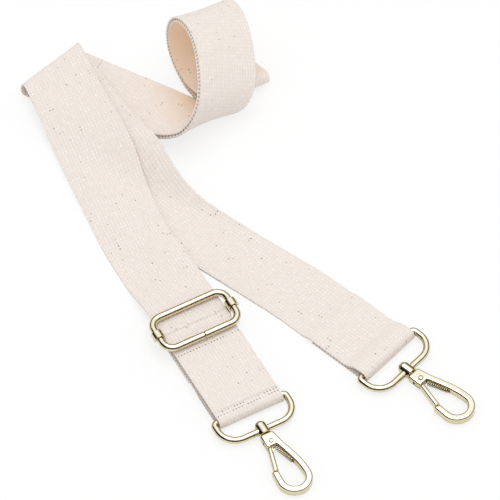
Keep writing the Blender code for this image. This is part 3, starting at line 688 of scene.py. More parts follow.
def woven_piece(name, surface, first, last, open_weave=None, dark_edges=(0.0, 0.0, 0.95)):
    """A closed woven band over a surface. Its selvedges get painted shade by the given shares, from
    the top down.
    """
    row_count = 2 * max(1, round((last - first) / weft_pitch))
    flats = [first + (last - first) * row / row_count for row in range(row_count + 1)]
    inner = half_width - selvedge_round
    acrosses = [inner * (2 * column / columns_across - 1) for column in range(columns_across + 1)]
    middle = np.array([[surface(flat, across) for across in acrosses] for flat in flats])
    along = np.gradient(middle, axis=0)
    aside = np.gradient(middle, axis=1)
    aside /= np.linalg.norm(aside, axis=2, keepdims=True)
    normal = np.cross(along, aside)
    normal /= np.linalg.norm(normal, axis=2, keepdims=True)

    rows = np.arange(row_count + 1)[:, None]
    columns = np.arange(columns_across + 1)[None, :]
    floats = (np.cos(rows * math.pi) + np.cos(columns * math.pi)) / 2
    top = middle + normal * (half_thickness - yarn_relief * (1 - floats))[:, :, None]
    bottom = middle - normal * (half_thickness - yarn_relief * (1 + floats))[:, :, None]
    reach = selvedge_round - selvedge_scallop * (rows[:, 0] % 2)

    def side_points(column, sign, angles):
        edge = middle[:, column]
        spots = []
        for angle in angles:
            outward = (sign * math.cos(angle) * reach)[:, None] * aside[:, column]
            spots.append(edge + outward + half_thickness * math.sin(angle) * normal[:, column])
        return np.stack(spots, axis=1)

    angles = [math.radians(angle) for angle in selvedge_angles]
    left = side_points(-1, 1.0, angles)
    right = side_points(0, -1.0, angles[::-1])
    ring = np.concatenate([top, left, bottom[:, ::-1], right], axis=1)
    ring_size = ring.shape[1]

    # The underside has its floats between those of the top
    places = columns[0] * warp_pitch / 2
    round_places = selvedge_round * np.array(selvedge_places)
    flat_x = np.concatenate([places, places[-1] + round_places, places[::-1] + warp_pitch / 2,
                             -round_places])
    below = np.zeros(ring_size)
    below[places.size + 3:-3] = weft_pitch / 2
    uv_x = np.broadcast_to(flat_x[None, :], ring.shape[:2])
    uv_y = rows * weft_pitch / 2 + below[None, :]

    start = (np.arange(row_count)[:, None] * ring_size + np.arange(ring_size)[None, :]).ravel()
    following = np.where(np.arange(start.size) % ring_size == ring_size - 1, 1 - ring_size, 1)
    quads = np.stack([start, start + ring_size, start + ring_size + following, start + following],
                     axis=1).tolist()
    quads += end_cap(0, False) + end_cap(row_count * ring_size, True)

    mesh = bpy.data.meshes.new(name)
    mesh.from_pydata(ring.reshape(-1, 3).tolist(), [], quads)
    corners = np.empty(len(mesh.loops), dtype=np.int32)
    mesh.loops.foreach_get("vertex_index", corners)
    flat_places = np.stack([uv_x.ravel(), uv_y.ravel()], axis=1)[corners]
    mesh.uv_layers.new(name="flat_band").data.foreach_set("uv", flat_places.ravel())
    openness = [open_weave(flat) if open_weave else 0.0 for flat in flats]
    store(mesh, "open_weave", np.repeat(np.array(openness, dtype=np.float32), ring_size))
    # Each selvedge point's share of painted shade, where it lies next to the floor or the other
    # layer
    bare = (0.0,) * (columns_across + 1)
    ring_selvedge_shade = bare + dark_edges + bare + dark_edges[::-1]
    store(mesh, "painted_selvedge_shade", np.tile(np.array(ring_selvedge_shade, dtype=np.float32), row_count + 1))
    cap_start = row_count * ring_size
    mesh.polygons.foreach_set("use_smooth", [index < cap_start for index in range(len(quads))])
    mesh.materials.append(cotton)
    return placed(name, mesh)


def end_cap(base, is_last):
    """Faces that close the cut end of a band, between top and bottom and at both sides."""
    count = columns_across + 1
    bottom = base + count + 3
    faces = [(base + column, base + column + 1, bottom + count - 2 - column,
              bottom + count - 1 - column) for column in range(columns_across)]
    faces.append((base + count - 1, base + count, base + count + 1, base + count + 2, bottom))
    last = bottom + count - 1
    faces.append((last, last + 1, last + 2, last + 3, base))
    return [face[::-1] for face in faces] if is_last else faces


def band(name, node, surface, first, last, held, rests_on, open_weave=None, **looks):
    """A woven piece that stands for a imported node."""
    piece = woven_piece(name, surface, first, last, open_weave, **looks)
    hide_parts(node)
    return piece


# The rolled middle: 43 cm of the band, doubled, from just inside one fold to just inside the other.
# Light inside the roll has gone from yarn to yarn, so it is warmer there; that warm bounce light is
# painted into the colour.

fold_overlap = 0.018
roll_reach = roll_layer_length + roll_half_turn
back_fold_place = back_fold.crease_place(0.0)
# The roll's selvedges get painted shade on their top side, next to the other layer
rolled = band("rolled_webbing", "webbing_roll", roll_point, fold_overlap - roll_reach,
              roll_reach - fold_overlap - back_fold_place, "folded", ["floor"],
              dark_edges=(0.95, 0.0, 0.0))
shelter_rays = 48
shelter_reach = 0.060
shelter_least = 0.12
shelter_range = 0.75


def measure_painted_warmth(piece):
    """Stores how enclosed each point of the roll is, by how many rays from it meet the roll, as its
    share of painted warm bounce light.
    """
    mesh = piece.data
    tree = bvhtree.BVHTree.FromPolygons([point.co for point in mesh.vertices],
                                        [face.vertices for face in mesh.polygons])
    golden = math.pi * (3 - math.sqrt(5))
    sphere = []
    for ray in range(shelter_rays):
        height = 1 - 2 * (ray + 1 / 2) / shelter_rays
        across = math.sqrt(1 - height * height)
        sphere.append(Vector((across * math.cos(golden * ray), across * math.sin(golden * ray),
                              height)))
    values = []
    for point in mesh.vertices:
        start = point.co + layer_pitch / 4 * point.normal
        hit = total = 0.0
        for ray in sphere:
            weight = ray.dot(point.normal)
            if weight > 0.0 and ray.z > 0.0:
                total += weight
                hit += weight * (tree.ray_cast(start, ray, shelter_reach)[0] is not None)
        values.append(smooth_step((hit / total - shelter_least) / shelter_range)
                      if total else 0.0)
    store(mesh, "painted_bounce_warmth", values)


measure_painted_warmth(rolled)
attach(rolled, "strap")


# The back run of the same band, from the fold to snap hook B. Its end is turned round the hook's
# ring and sewn down on the run.

back_tail_step = -back_tail_length - tail_step_length
back_end_profile = climb(back_tail_step, tail_step_length, half_thickness, on_tail)
back_end_profile += climb(-bar_climb_length - ring_loop_radius, bar_climb_length, on_tail,
                          over_ring_height)
back_end_profile += half_turn(0.0, ring_bar_height, ring_loop_radius, math.pi, 0.0)
back_end_profile.append((-back_tail_length, half_thickness))
back_end_surface = profile_surface(back_end_profile, end_b_frame)
back_end_start = back_length + back_tail_step


def back_point(distance, across):
    if distance > back_end_start:
        return back_end_surface(distance - back_end_start, across)
    if across < 0.0:
        across *= 1 - between(back_neck_shares, 1 - distance / back_length)[0]
    return run_point(back_fold, back_station, back_height_at, distance, across)


back_end = back_end_start + profile_lengths(back_end_profile)[-1]
back_webbing = band("back_webbing", "webbing_back_run", back_point, back_fold.start - fold_overlap,
                    back_end, "folded", ["floor", rolled])
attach(back_webbing, "strap")


# The front run, from the fold over the back run to the slider's centre bar.

# Rows where the weave is pulled open: their place on the piece, half length and how open they are
window_back = 0.001
window_opening = (0.006, 0.10)
past_bar_opening = (0.0149, 0.0013, 0.9)
wrap_opening = (0.002, 0.003, 0.9)


def front_point(distance, across):
    place = distance - front_length
    if place <= -lead_run_length:
        if across > 0.0:
            across *= 1 - between(front_neck_shares, distance / front_length)[0]
        return run_point(front_fold, front_station, front_height_at, distance, across)
    point = slider_frame @ Vector((place, across, 0.0))
    laid = front_height_at(point)
    climbed = smooth_step((place + lead_run_length) / (lead_run_length - lead_climb_end))
    return point + (laid + climbed * (over_ring_height - laid) + bar_arch(place)) * UP


def open_near(places):
    """How open the weave is by the place on a piece, from rows of place, reach and amount."""
    return lambda flat: sum(amount * (1 - smooth_step(abs(flat - place) / reach))
                            for place, reach, amount in places)


front_webbing = band("front_webbing", "webbing_front_run", front_point,
                     front_fold.start - fold_overlap, front_length, "folded",
                     ["floor", rolled, back_webbing],
                     open_near([(front_length - window_back, *window_opening)]))
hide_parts("webbing_lead_run")
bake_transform(front_webbing)
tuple(slider_point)


# Beyond the slider: the top layer runs to the ring of hook A and round its bar, and comes back
# below to the slider, where the end is sewn round the centre bar.

loop_start = slider_to_ring - ring_loop_tab
half_bar = bar_width / 2 - bar_thickness / 4
sewn_end_start = slider_tail_length + tail_step_length / 2
adjust_profile = [(step * profile_step, over_ring_height + bar_arch(step * profile_step))
                  for step in range(round(bar_arch_length / profile_step))]
adjust_profile.append((loop_start, over_ring_height))
ring_loop_profile = [(-ring_loop_tab, over_ring_height)]
ring_loop_profile += half_turn(0.0, ring_bar_height, ring_loop_radius, math.pi, 0.0)
ring_loop_profile.append((-ring_loop_tab, half_thickness))
return_profile = [(loop_start, half_thickness)]
return_profile += climb(sewn_end_start, tail_step_length, on_tail, half_thickness)[::-1]
sewn_profile = [(sewn_end_start, on_tail)]
sewn_profile += climb(half_bar, bar_width, over_bar_height, on_tail)[::-1]
sewn_profile += half_turn(-half_bar, bar_height, sewn_loop_radius, -math.pi, 0.0)
sewn_profile.append((slider_tail_length, half_thickness))


def profile_band(name, node, profile, matrix, held, rests_on, open_weave=None):
    length = profile_lengths(profile)[-1]
    return band(name, node, profile_surface(profile, matrix), 0.0, length, held, rests_on,
                open_weave)


adjust_webbing = profile_band("adjusting_webbing", "webbing_adjust_run", adjust_profile,
                              slider_frame, "stretched", ["slider_bar", "ring_a"],
                              open_near([(0.0, *window_opening), past_bar_opening]))
ring_loop_webbing = profile_band("ring_loop_webbing", "webbing_ring_loop", ring_loop_profile,
                                 end_a_frame, "folded", ["ring_a"],
                                 open_near([wrap_opening]))
return_webbing = profile_band("returning_webbing", "webbing_return_run", return_profile,
                              slider_frame, "stretched", ["floor"])
sewn_webbing = profile_band("sewn_webbing_end", "webbing_sewn_end", sewn_profile, slider_frame,
                            "folded", ["slider_bar"])
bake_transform(adjust_webbing)
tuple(slider_point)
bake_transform(return_webbing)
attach(ring_loop_webbing, "hook_end_a")
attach(sewn_webbing, "slider")


# Gold plating: pale gold over polished wire and castings. It is a mirror with faint clouds and
# scuffs, so it mostly shows what is round it. Its forms are made as curves and cutters, and each
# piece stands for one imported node.

clouds_per_metre = 160.0
scuffs_per_metre = 900.0
# From where to where scuffs count, then the roughness there
scuff_range = (0.35, 0.75, 0.07, 0.16)
sharp_angle = math.radians(38.0)
weld_distance = 2e-6
round_steps = 48
edge_steps = 5
ALONG = Vector((1.0, 0.0, 0.0))


def make_gold():
    material, tree, shader = new_material("polished_pale_gold_plate", {"Metallic": 1.0})
    place = add_node(tree, "ShaderNodeTexCoord").outputs["Object"]
    clouds = add_node(tree, "ShaderNodeTexNoise",
                      {"Vector": place, "Scale": clouds_per_metre, "Detail": 4.0}).outputs[0]
    tone = add_node(tree, "ShaderNodeMix",
                    {0: clouds, 6: linear("#DACCA8"), 7: linear("#E9DEC1")},
                    data_type="RGBA").outputs[2]
    tree.links.new(tone, shader.inputs["Base Color"])
    scuffs = add_node(tree, "ShaderNodeTexNoise",
                      {"Vector": place, "Scale": scuffs_per_metre, "Detail": 3.0}).outputs[0]
    roughness = add_node(tree, "ShaderNodeMapRange", (scuffs, *scuff_range)).outputs[0]
    tree.links.new(roughness, shader.inputs["Roughness"])
    return material


gold = make_gold()


def mesh_from(form):
    """The plain mesh of a form with its modifiers; the form is removed."""
    bpy.context.view_layer.update()
    evaluated = form.evaluated_get(bpy.context.evaluated_depsgraph_get())
    mesh = bpy.data.meshes.new_from_object(evaluated)
    bpy.data.objects.remove(form)
    return mesh


def closed(mesh):
    """Welds a curve's caps on, clears slivers away and turns the faces outwards."""
    solid = bmesh.new()
    solid.from_mesh(mesh)
    bmesh.ops.remove_doubles(solid, verts=solid.verts, dist=weld_distance)
    bmesh.ops.recalc_face_normals(solid, faces=solid.faces)
    solid.to_mesh(mesh)
    solid.free()
    return mesh


def wire_mesh(points, radius, cyclic, taper=None, sides=6):
    """A round wire through points; taper gives each point's share of the radius."""
    curve = bpy.data.curves.new("wire", "CURVE")
    curve.dimensions = "3D"
    curve.bevel_depth = radius
    curve.bevel_resolution = sides
    curve.use_fill_caps = not cyclic
    spline = curve.splines.new("POLY")
    spline.points.add(len(points) - 1)
    for index, (spot, point) in enumerate(zip(spline.points, points)):
        spot.co = (*point, 1.0)
        spot.radius = taper[index] if taper else 1.0
    spline.use_cyclic_u = cyclic
    return closed(mesh_from(placed("form", curve)))


def slab_mesh(outline, thickness, edge_round, rounds=5):
    """A flat outline with rounded edges, centred on its own plane."""
    curve = bpy.data.curves.new("slab", "CURVE")
    curve.dimensions = "2D"
    curve.fill_mode = "BOTH"
    curve.extrude = thickness / 2 - edge_round
    curve.bevel_depth = edge_round
    curve.offset = -edge_round
    curve.bevel_resolution = rounds
    spline = curve.splines.new("POLY")
    spline.points.add(len(outline) - 1)
    for spot, (x, y) in zip(spline.points, outline):
        spot.co = (x, y, 0.0, 1.0)
    spline.use_cyclic_u = True
    return closed(mesh_from(placed("form", curve)))


def mesh_of(solid):
    """The plain mesh of a bmesh, which is freed."""
    mesh = bpy.data.meshes.new("solid")
    solid.to_mesh(mesh)
    solid.free()
    return mesh


def rod_mesh(radius, start, end, direction, offset=Vector()):
    """A straight round rod along a direction, from one distance to another."""
    solid = bmesh.new()
    turn = UP.rotation_difference(direction).to_matrix().to_4x4()
    middle = Matrix.Translation(offset + (start + end) / 2 * direction)
    bmesh.ops.create_cone(solid, cap_ends=True, segments=round_steps, radius1=radius,
                          radius2=radius, depth=end - start, matrix=middle @ turn)
    return mesh_of(solid)


def box_mesh(low, high):
    solid = bmesh.new()
    bmesh.ops.create_cube(solid, size=1.0)
    for corner in solid.verts:
        corner.co = Vector([a + (share + 1 / 2) * (b - a) for share, a, b
                            in zip(corner.co, low, high)])
    return mesh_of(solid)


def turned_mesh(profile, direction):
    """A solid turned about a direction, from rows of place and radius listed from front to back."""
    solid = bmesh.new()
    corners = [solid.verts.new((radius, 0.0, place)) for place, radius in profile]
    edges = [solid.edges.new(pair) for pair in zip(corners, corners[1:])]
    bmesh.ops.spin(solid, geom=corners + edges, cent=(0, 0, 0), axis=(0, 0, 1),
                   angle=2 * math.pi, steps=round_steps)
    mesh = closed(mesh_of(solid))
    mesh.transform(UP.rotation_difference(direction).to_matrix().to_4x4())
    return mesh


def combined(mesh, others, operation):
    """Joins a mesh with others, or cuts them out of it."""
    for other in others:
        form, tool = placed("form", mesh), placed("form", other)
        change = form.modifiers.new("change", "BOOLEAN")
        change.operation = operation
        change.object = tool
        mesh = closed(mesh_from(form))
        bpy.data.objects.remove(tool)
    return mesh


def metal_piece(name, mesh, matrix, node, body, edge=0.0):
    """Adds a gold piece; an edge above zero rounds its sharp corners by that much, in metres."""
    mesh.materials.clear()
    mesh.materials.append(gold)
    mesh.polygons.foreach_set("material_index", [0] * len(mesh.polygons))
    form = placed("form", mesh)
    if edge:
        bevel = form.modifiers.new("worn edges", "BEVEL")
        bevel.width = edge
        bevel.segments = 2
        bevel.limit_method = "ANGLE"
        bevel.angle_limit = sharp_angle
    mesh = closed(mesh_from(form))
    mesh.polygons.foreach_set("use_smooth", [True] * len(mesh.polygons))
    mesh.set_sharp_from_angle(angle=sharp_angle)
    form = placed("form", mesh)
    form.modifiers.new("flat faces stay flat", "WEIGHTED_NORMAL").keep_sharp = True
    mesh = mesh_from(form)
    mesh.transform(matrix)
    mesh.name = name
    piece = placed(name, mesh)
    if body:
        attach(piece, body)
    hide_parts(node)
    return piece


def arc(centre, radius, first, last, steps):
    """Points of an arc by angle, in the flat."""
    return [(centre[0] + radius * math.cos(first + (last - first) * step / steps),
             centre[1] + radius * math.sin(first + (last - first) * step / steps))
            for step in range(steps + 1)]


# Stitching: two rows of lockstitch across each sewn end, in matt spun thread of the webbing's
# colour, whose twist shows as fine light and dark. Every stitch dips into the weave at both ends.

stitch_length = 0.0030
stitch_rows = 2
stitch_row_gap = 0.0040
stitch_edge_margin = 0.0035
thread_radius = 0.00024
stitch_half_length = 0.00125
stitch_crown = 0.00035
stitch_dip = 0.00040
stitch_waver = math.radians(4.0)
stitch_curve_points = 8
twists_per_metre = 2600.0
sewn_top = webbing_thickness + layer_pitch


def make_thread():
    material, tree, shader = new_material("spun_cotton_thread", {
        "Roughness": 0.80, "Sheen Weight": 0.10,
    })
    place = add_node(tree, "ShaderNodeTexCoord").outputs["Object"]
    twist = add_node(tree, "ShaderNodeTexNoise",
                     {"Vector": place, "Scale": twists_per_metre, "Detail": 2.0}).outputs[0]
    tone = add_node(tree, "ShaderNodeMix",
                    {0: twist, 6: linear("#E9DED3"), 7: linear("#FCF6F0")},
                    data_type="RGBA").outputs[2]
    tree.links.new(tone, shader.inputs["Base Color"])
    return material


def stitch_tree():
    """Rows of stitches: a grid of points, and on each one a short thread turned a little askew."""
    tree = bpy.data.node_groups.new("lockstitch_rows", "GeometryNodeTree")
    for name, kind in (("Row Length", "Float"), ("Stitches", "Int"), ("Seed", "Int")):
        tree.interface.new_socket(name, in_out="INPUT", socket_type=f"NodeSocket{kind}")
    tree.interface.new_socket("Geometry", in_out="OUTPUT", socket_type="NodeSocketGeometry")
    given = add_node(tree, "NodeGroupInput")
    points = add_node(tree, "GeometryNodeMeshGrid",
                      {"Size X": stitch_row_gap, "Size Y": given.outputs["Row Length"],
                       "Vertices X": stitch_rows, "Vertices Y": given.outputs["Stitches"]})
    path = add_node(tree, "GeometryNodeCurveQuadraticBezier",
                    {"Resolution": stitch_curve_points,
                     "Start": (0.0, -stitch_half_length, -stitch_dip),
                     "Middle": (0.0, 0.0, stitch_crown),
                     "End": (0.0, stitch_half_length, -stitch_dip)})
    section = add_node(tree, "GeometryNodeCurvePrimitiveCircle",
                       {"Resolution": stitch_curve_points, "Radius": thread_radius})
    thread = add_node(tree, "GeometryNodeCurveToMesh",
                      {"Curve": path.outputs[0], "Profile Curve": section.outputs[0],
                       "Fill Caps": True})
    waver = add_node(tree, "FunctionNodeRandomValue",
                     {0: (0.0, 0.0, -stitch_waver), 1: (0.0, 0.0, stitch_waver),
                      "Seed": given.outputs["Seed"]}, data_type="FLOAT_VECTOR")
    rows = add_node(tree, "GeometryNodeInstanceOnPoints",
                    {"Points": points.outputs["Mesh"], "Instance": thread.outputs[0],
                     "Rotation": waver.outputs[0]})
    real = add_node(tree, "GeometryNodeRealizeInstances", {0: rows.outputs[0]})
    finished = add_node(tree, "GeometryNodeSetMaterial",
                        {"Geometry": real.outputs[0], "Material": make_thread()})
    add_node(tree, "NodeGroupOutput", {"Geometry": finished.outputs[0]})
    return tree


def stitched_rows(name, tree, node, matrix, place, body, seed):
    """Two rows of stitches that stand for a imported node; place is where the first row lies."""
    reach = half_width - stitch_edge_margin
    count = round(2 * reach / stitch_length)
    values = {"Row Length": 2 * reach - stitch_length, "Stitches": count, "Seed": seed}
    form = placed("form", bpy.data.meshes.new(name))
    rows = form.modifiers.new("lockstitch rows", "NODES")
    rows.node_group = tree
    for item in tree.interface.items_tree:
        if item.name in values:
            rows[item.identifier] = values[item.name]
    mesh = mesh_from(form)
    mesh.polygons.foreach_set("use_smooth", [True] * len(mesh.polygons))
    mesh.transform(matrix @ Matrix.Translation((place + stitch_row_gap / 2, 0.0, sewn_top)))
    mesh.name = name
    piece = placed(name, mesh)
    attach(piece, body)
    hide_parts(node)


lockstitch = stitch_tree()
stitched_rows("slider_end_stitches", lockstitch, "stitching_a", slider_frame,
              slider_tail_length / 2, "slider", seed=3)
stitched_rows("hook_end_stitches", lockstitch, "stitching_b", end_b_frame,
              -bar_climb_length - ring_loop_radius - 2 * stitch_row_gap, "strap", seed=7)


# Slider frame: 4 mm wire bent to a rounded rectangle, its ends butted in the middle of the bar that
# faces hook A, where the seam shows as a dark line.

slider_length = 0.0212
slider_side_room = 0.0028
slider_corner_radius = 0.0060
slider_span = webbing_width + 2 * slider_side_room
seam_gap = 0.00012
wire_end_round = 0.0005


def domed_ends(points, radius, end_round):
    """Each point's share of the radius, so that both cut ends of a wire are rounded off."""
    shares = []
    for point in points:
        reach = min((point - points[0]).length, (point - points[-1]).length, end_round)
        drop = end_round - math.sqrt(end_round ** 2 - (end_round - reach) ** 2)
        shares.append(1 - drop / radius)
    return shares


def make_slider_frame():
    half_length, half_span = slider_length / 2, slider_span / 2
    corner = slider_corner_radius
    cut_end = [seam_gap / 2 + wire_end_round * step / edge_steps for step in range(edge_steps + 1)]
    flat = [(half_length, y) for y in cut_end]
    for sign_x, sign_y, first in ((1, 1, 0.0), (-1, 1, quarter), (-1, -1, math.pi),
                                  (1, -1, 3 * quarter)):
        centre = (sign_x * (half_length - corner), sign_y * (half_span - corner))
        flat += arc(centre, corner, first, first + quarter, round_steps // 3)
    flat += [(half_length, -y) for y in cut_end[::-1]]
    points = [Vector((x, y, slider_height)) for x, y in flat]
    mesh = wire_mesh(points, slider_wire_radius, False,
                     domed_ends(points, slider_wire_radius, wire_end_round))
    metal_piece("slider_frame_wire", mesh, slider_frame, "slider_frame", "slider")


make_slider_frame()


# Centre bar: a flat strip that the sewn end goes round. Each end rises beside the webbing and is
# rolled round the frame's side as a short band.

clip_width = 0.0046
clip_wall = 0.0009
clip_roll_end = math.radians(300.0)
clip_roll_lap = math.radians(20.0)
clip_roll_steps = 40
bar_worn_edge = 0.00012


def make_centre_bar():
    side = slider_span / 2
    inner = slider_wire_radius + seat_gap
    outer = inner + clip_wall
    bar_end = side - slider_wire_radius + clip_wall / 2
    bar_low = bar_height - bar_thickness / 2
    bar = box_mesh((-bar_width / 2, -bar_end, bar_low),
                   (bar_width / 2, bar_end, bar_low + bar_thickness))
    extras = []
    for sign in (-1, 1):
        start = -quarter - clip_roll_lap
        roll = arc((0.0, 0.0), outer, start, start + clip_roll_end, clip_roll_steps)
        roll += arc((0.0, 0.0), inner, start + clip_roll_end, start, clip_roll_steps)
        band_mesh = slab_mesh([(-x * sign, y) for x, y in roll], clip_width, clip_wall / 5,
                              rounds=2)
        stand = Matrix(((0, 0, 1, 0), (1, 0, 0, sign * side), (0, 1, 0, slider_height),
                        (0, 0, 0, 1)))
        band_mesh.transform(stand)
        extras.append(closed(band_mesh))
        middle = sign * (side - slider_wire_radius)
        post = sorted((middle - sign * clip_wall / 2, middle + sign * clip_wall / 2))
        extras.append(box_mesh((-clip_width / 2, post[0], bar_low),
                               (clip_width / 2, post[1], slider_height - inner + clip_wall / 2)))
    mesh = combined(bar, extras, "UNION")
    metal_piece("slider_centre_bar", mesh, slider_frame, "slider_bar", "slider", bar_worn_edge)


make_centre_bar()


# Snap hooks: a D ring of wire with a barrel boss, a rivet that the hook swivels on, the cast hook
# body, a spring-loaded gate on a pin, and its coil spring in the fixed arm.

ring_depth = 0.0150
ring_side_room = 0.0022
ring_back_corner_radius = 0.0021
ring_front_corner_radius = 0.0100
ring_droop = math.radians(0.9)
ring_span = webbing_width + 2 * ring_side_room
boss_radius = 0.00335
boss_back = 0.0034
boss_front = 0.0033
boss_edge = 0.0006
stem_radius = 0.0015
stem_head_radius = 0.0027
stem_head_thickness = 0.0016
hook_thickness = 0.0048
hook_edge_round = 0.0011
hook_start = 0.0036
hook_neck_half_width = 0.0039
hook_neck_corner = 0.0012
hook_block_end = 0.0120
hook_length = 0.0440
hook_half_width = 0.0097
hook_widening_power = 1.5
arm_width = 0.0039
nose_start = 0.0275
nose_width = 0.0036
spring_seat_depth = 0.0031
spring_seat_end = 0.0252
groove_width = 0.0032
slot_width = 0.0022
slot_floor = 0.0072
slot_side = 0.0034
gate_pin_place = 0.0092
gate_pin_radius = 0.0008
gate_pin_head_radius = 0.0013
gate_pin_head_thickness = 0.0005
gate_eye_radius = 0.0017
gate_eye_thickness = 0.0016
tongue_thickness = 0.0045
gate_width = 0.0026
gate_side = 0.0066
gate_tip_gap = 0.0004
gate_tip_slant = 0.0009
gate_heel_reach = 0.0028
gate_heel_side = 0.0019
spring_wire_radius = 0.00026
spring_radius = 0.00115
spring_turns = 11
spring_points_per_turn = 26
worn_edge = 0.0001
# How many steps a round or a curved side is drawn in
ring_back_steps = 10
ring_front_steps = 28
neck_steps = 6
outer_side_steps = 24
inner_side_steps = 26
outer_bow_steps = 48
inner_bow_steps = 40
groove_steps = 14
eye_steps = 12
dome_steps = 8


def dome(top, base, radius, steps=dome_steps):
    """Profile rows of a rounded button head, from its crown out to its rim."""
    return [(base + (top - base) * math.cos(quarter * step / steps),
             radius * math.sin(quarter * step / steps)) for step in range(steps + 1)]


def d_ring_mesh():
    side = ring_span / 2
    back, front = ring_back_corner_radius, ring_front_corner_radius
    flat = arc((back, side - back), back, quarter, math.pi, ring_back_steps)
    flat += arc((back, back - side), back, math.pi, 3 * quarter, ring_back_steps)
    flat += arc((ring_depth - front, front - side), front, -quarter, 0.0, ring_front_steps)
    flat += arc((ring_depth - front, side - front), front, 0.0, quarter, ring_front_steps)
    ring = wire_mesh([Vector((x, y, 0.0)) for x, y in flat], ring_wire_radius, True,
                     sides=8)
    low, high = ring_depth - boss_back, ring_depth + boss_front
    rim = dome(low, low + boss_edge, boss_edge, edge_steps)
    barrel = [(high, 0.0), (high, boss_radius - boss_edge)]
    barrel += [(high - boss_edge + boss_edge * math.cos(quarter * step / edge_steps),
                boss_radius - boss_edge + boss_edge * math.sin(quarter * step / edge_steps))
               for step in range(1, edge_steps + 1)]
    barrel += [(place, boss_radius - boss_edge + reach) for place, reach in rim[::-1]]
    barrel.append((low, 0.0))
    bore = rod_mesh(stem_radius + seat_gap, low - boss_back, high + boss_front, ALONG)
    ring = combined(ring, [turned_mesh(barrel, ALONG)], "UNION")
    return combined(ring, [bore], "DIFFERENCE")


def swivel_mesh():
    head_face = -boss_back - seat_gap
    head = [(head_face - place, radius) for place, radius
            in dome(stem_head_thickness, 0.0, stem_head_radius)]
    profile = [(slot_floor - seat_gap, 0.0), (slot_floor - seat_gap, stem_radius),
               (head_face, stem_radius)] + head[::-1]
    return turned_mesh(profile, ALONG)


def hook_half_width_at(place):
    """Half the hook's outer width at a place along it, from the neck to the start of the bow."""
    share = (place - hook_start) / (hook_length - hook_half_width - hook_start)
    widening = math.sin(quarter * share) ** hook_widening_power
    return hook_neck_half_width + (hook_half_width - hook_neck_half_width) * widening


def hook_bow(inset, first, last, steps):
    return arc((hook_length - hook_half_width, 0.0), hook_half_width - inset, first, last, steps)


def hook_side(inset, start, end, steps):
    places = [start + (end - start) * step / steps for step in range(steps + 1)]
    return [(place, hook_half_width_at(place) - inset) for place in places]


def hook_mesh():
    bow_start = hook_length - hook_half_width
    nose_side = -hook_half_width_at(nose_start)
    seat_inset = arm_width - spring_seat_depth / 2
    corner = hook_neck_corner
    outline = arc((hook_start + corner, corner - hook_neck_half_width), corner, 3 * quarter,
                  math.pi, neck_steps)
    outline += arc((hook_start + corner, hook_neck_half_width - corner), corner, math.pi, quarter,
                   neck_steps)
    outline += hook_side(0.0, hook_block_end, bow_start, outer_side_steps)
    outline += hook_bow(0.0, quarter, -quarter, outer_bow_steps)[1:]
    outline += [(nose_start - gate_tip_slant, nose_side), (nose_start, nose_side + nose_width)]
    outline += hook_bow(arm_width, -quarter, quarter, inner_bow_steps)
    outline += hook_side(arm_width, bow_start, hook_block_end, inner_side_steps)[1:]
    outline.append((hook_block_end, -hook_neck_half_width))
    body = slab_mesh(outline, hook_thickness, hook_edge_round, rounds=6)
    groove_outline = hook_side(seat_inset, spring_seat_end, hook_block_end, groove_steps)
    groove_outline += [(hook_block_end, -hook_neck_half_width), (spring_seat_end, 0.0)]
    groove = slab_mesh(groove_outline, groove_width, groove_width / 8, rounds=1)
    slot = box_mesh((slot_floor, -2 * hook_neck_half_width, -slot_width / 2),
                    (hook_block_end + gate_width, slot_side, slot_width / 2))
    stem_bore = rod_mesh(stem_radius + seat_gap, 0.0, slot_floor + seat_gap, ALONG)
    pin_hole = rod_mesh(gate_pin_radius + seat_gap, -hook_thickness, hook_thickness, UP,
                        gate_pin_place * ALONG)
    return combined(body, [groove, slot, stem_bore, pin_hole], "DIFFERENCE")


def gate_mesh():
    """A tongue from its eye on the pin to just short of the nose, with a heel for the spring."""
    tip = nose_start - gate_tip_gap - gate_pin_place
    clear = hook_block_end + seat_gap - gate_pin_place
    outer_side = -hook_neck_half_width
    tongue = slab_mesh([
        (clear, outer_side),
        (tip - gate_tip_slant, -gate_side - gate_width / 2),
        (tip, -gate_side + gate_width / 2),
        (clear, -hook_neck_half_width + gate_width),
    ], tongue_thickness, hook_edge_round, rounds=6)
    eye_outline = arc((0.0, 0.0), gate_eye_radius, quarter, math.pi, eye_steps)
    eye_outline += [(-gate_eye_radius, outer_side / 2), (-gate_eye_radius / 2, outer_side),
                    (clear + gate_width, outer_side),
                    (clear + gate_width, -hook_neck_half_width + gate_width),
                    (gate_heel_reach, -gate_eye_radius / 2), (gate_heel_reach, gate_heel_side)]
    eye = slab_mesh(eye_outline, gate_eye_thickness, gate_eye_thickness / 8, rounds=2)
    hole = rod_mesh(gate_pin_radius + seat_gap, -hook_thickness, hook_thickness, UP)
    return combined(combined(tongue, [eye], "UNION"), [hole], "DIFFERENCE")


def gate_rivet_mesh():
    face = hook_thickness / 2 + seat_gap
    head = dome(face + gate_pin_head_thickness, face, gate_pin_head_radius)
    profile = head + [(face, gate_pin_radius), (-face, gate_pin_radius)]
    profile += [(-place, radius) for place, radius in head[::-1]]
    return turned_mesh(profile, UP)


def spring_ends():
    """Where the spring starts at the gate's heel, and where it ends at the step in the arm."""
    start = Vector((gate_pin_place + gate_heel_reach + seat_gap + spring_wire_radius,
                    gate_heel_side / 2, 0.0))
    seat_side = hook_half_width_at(spring_seat_end) - arm_width + spring_seat_depth / 2
    end = Vector((spring_seat_end - seat_gap - spring_wire_radius,
                  seat_side - spring_radius - spring_wire_radius - seat_gap, 0.0))
    return start, end


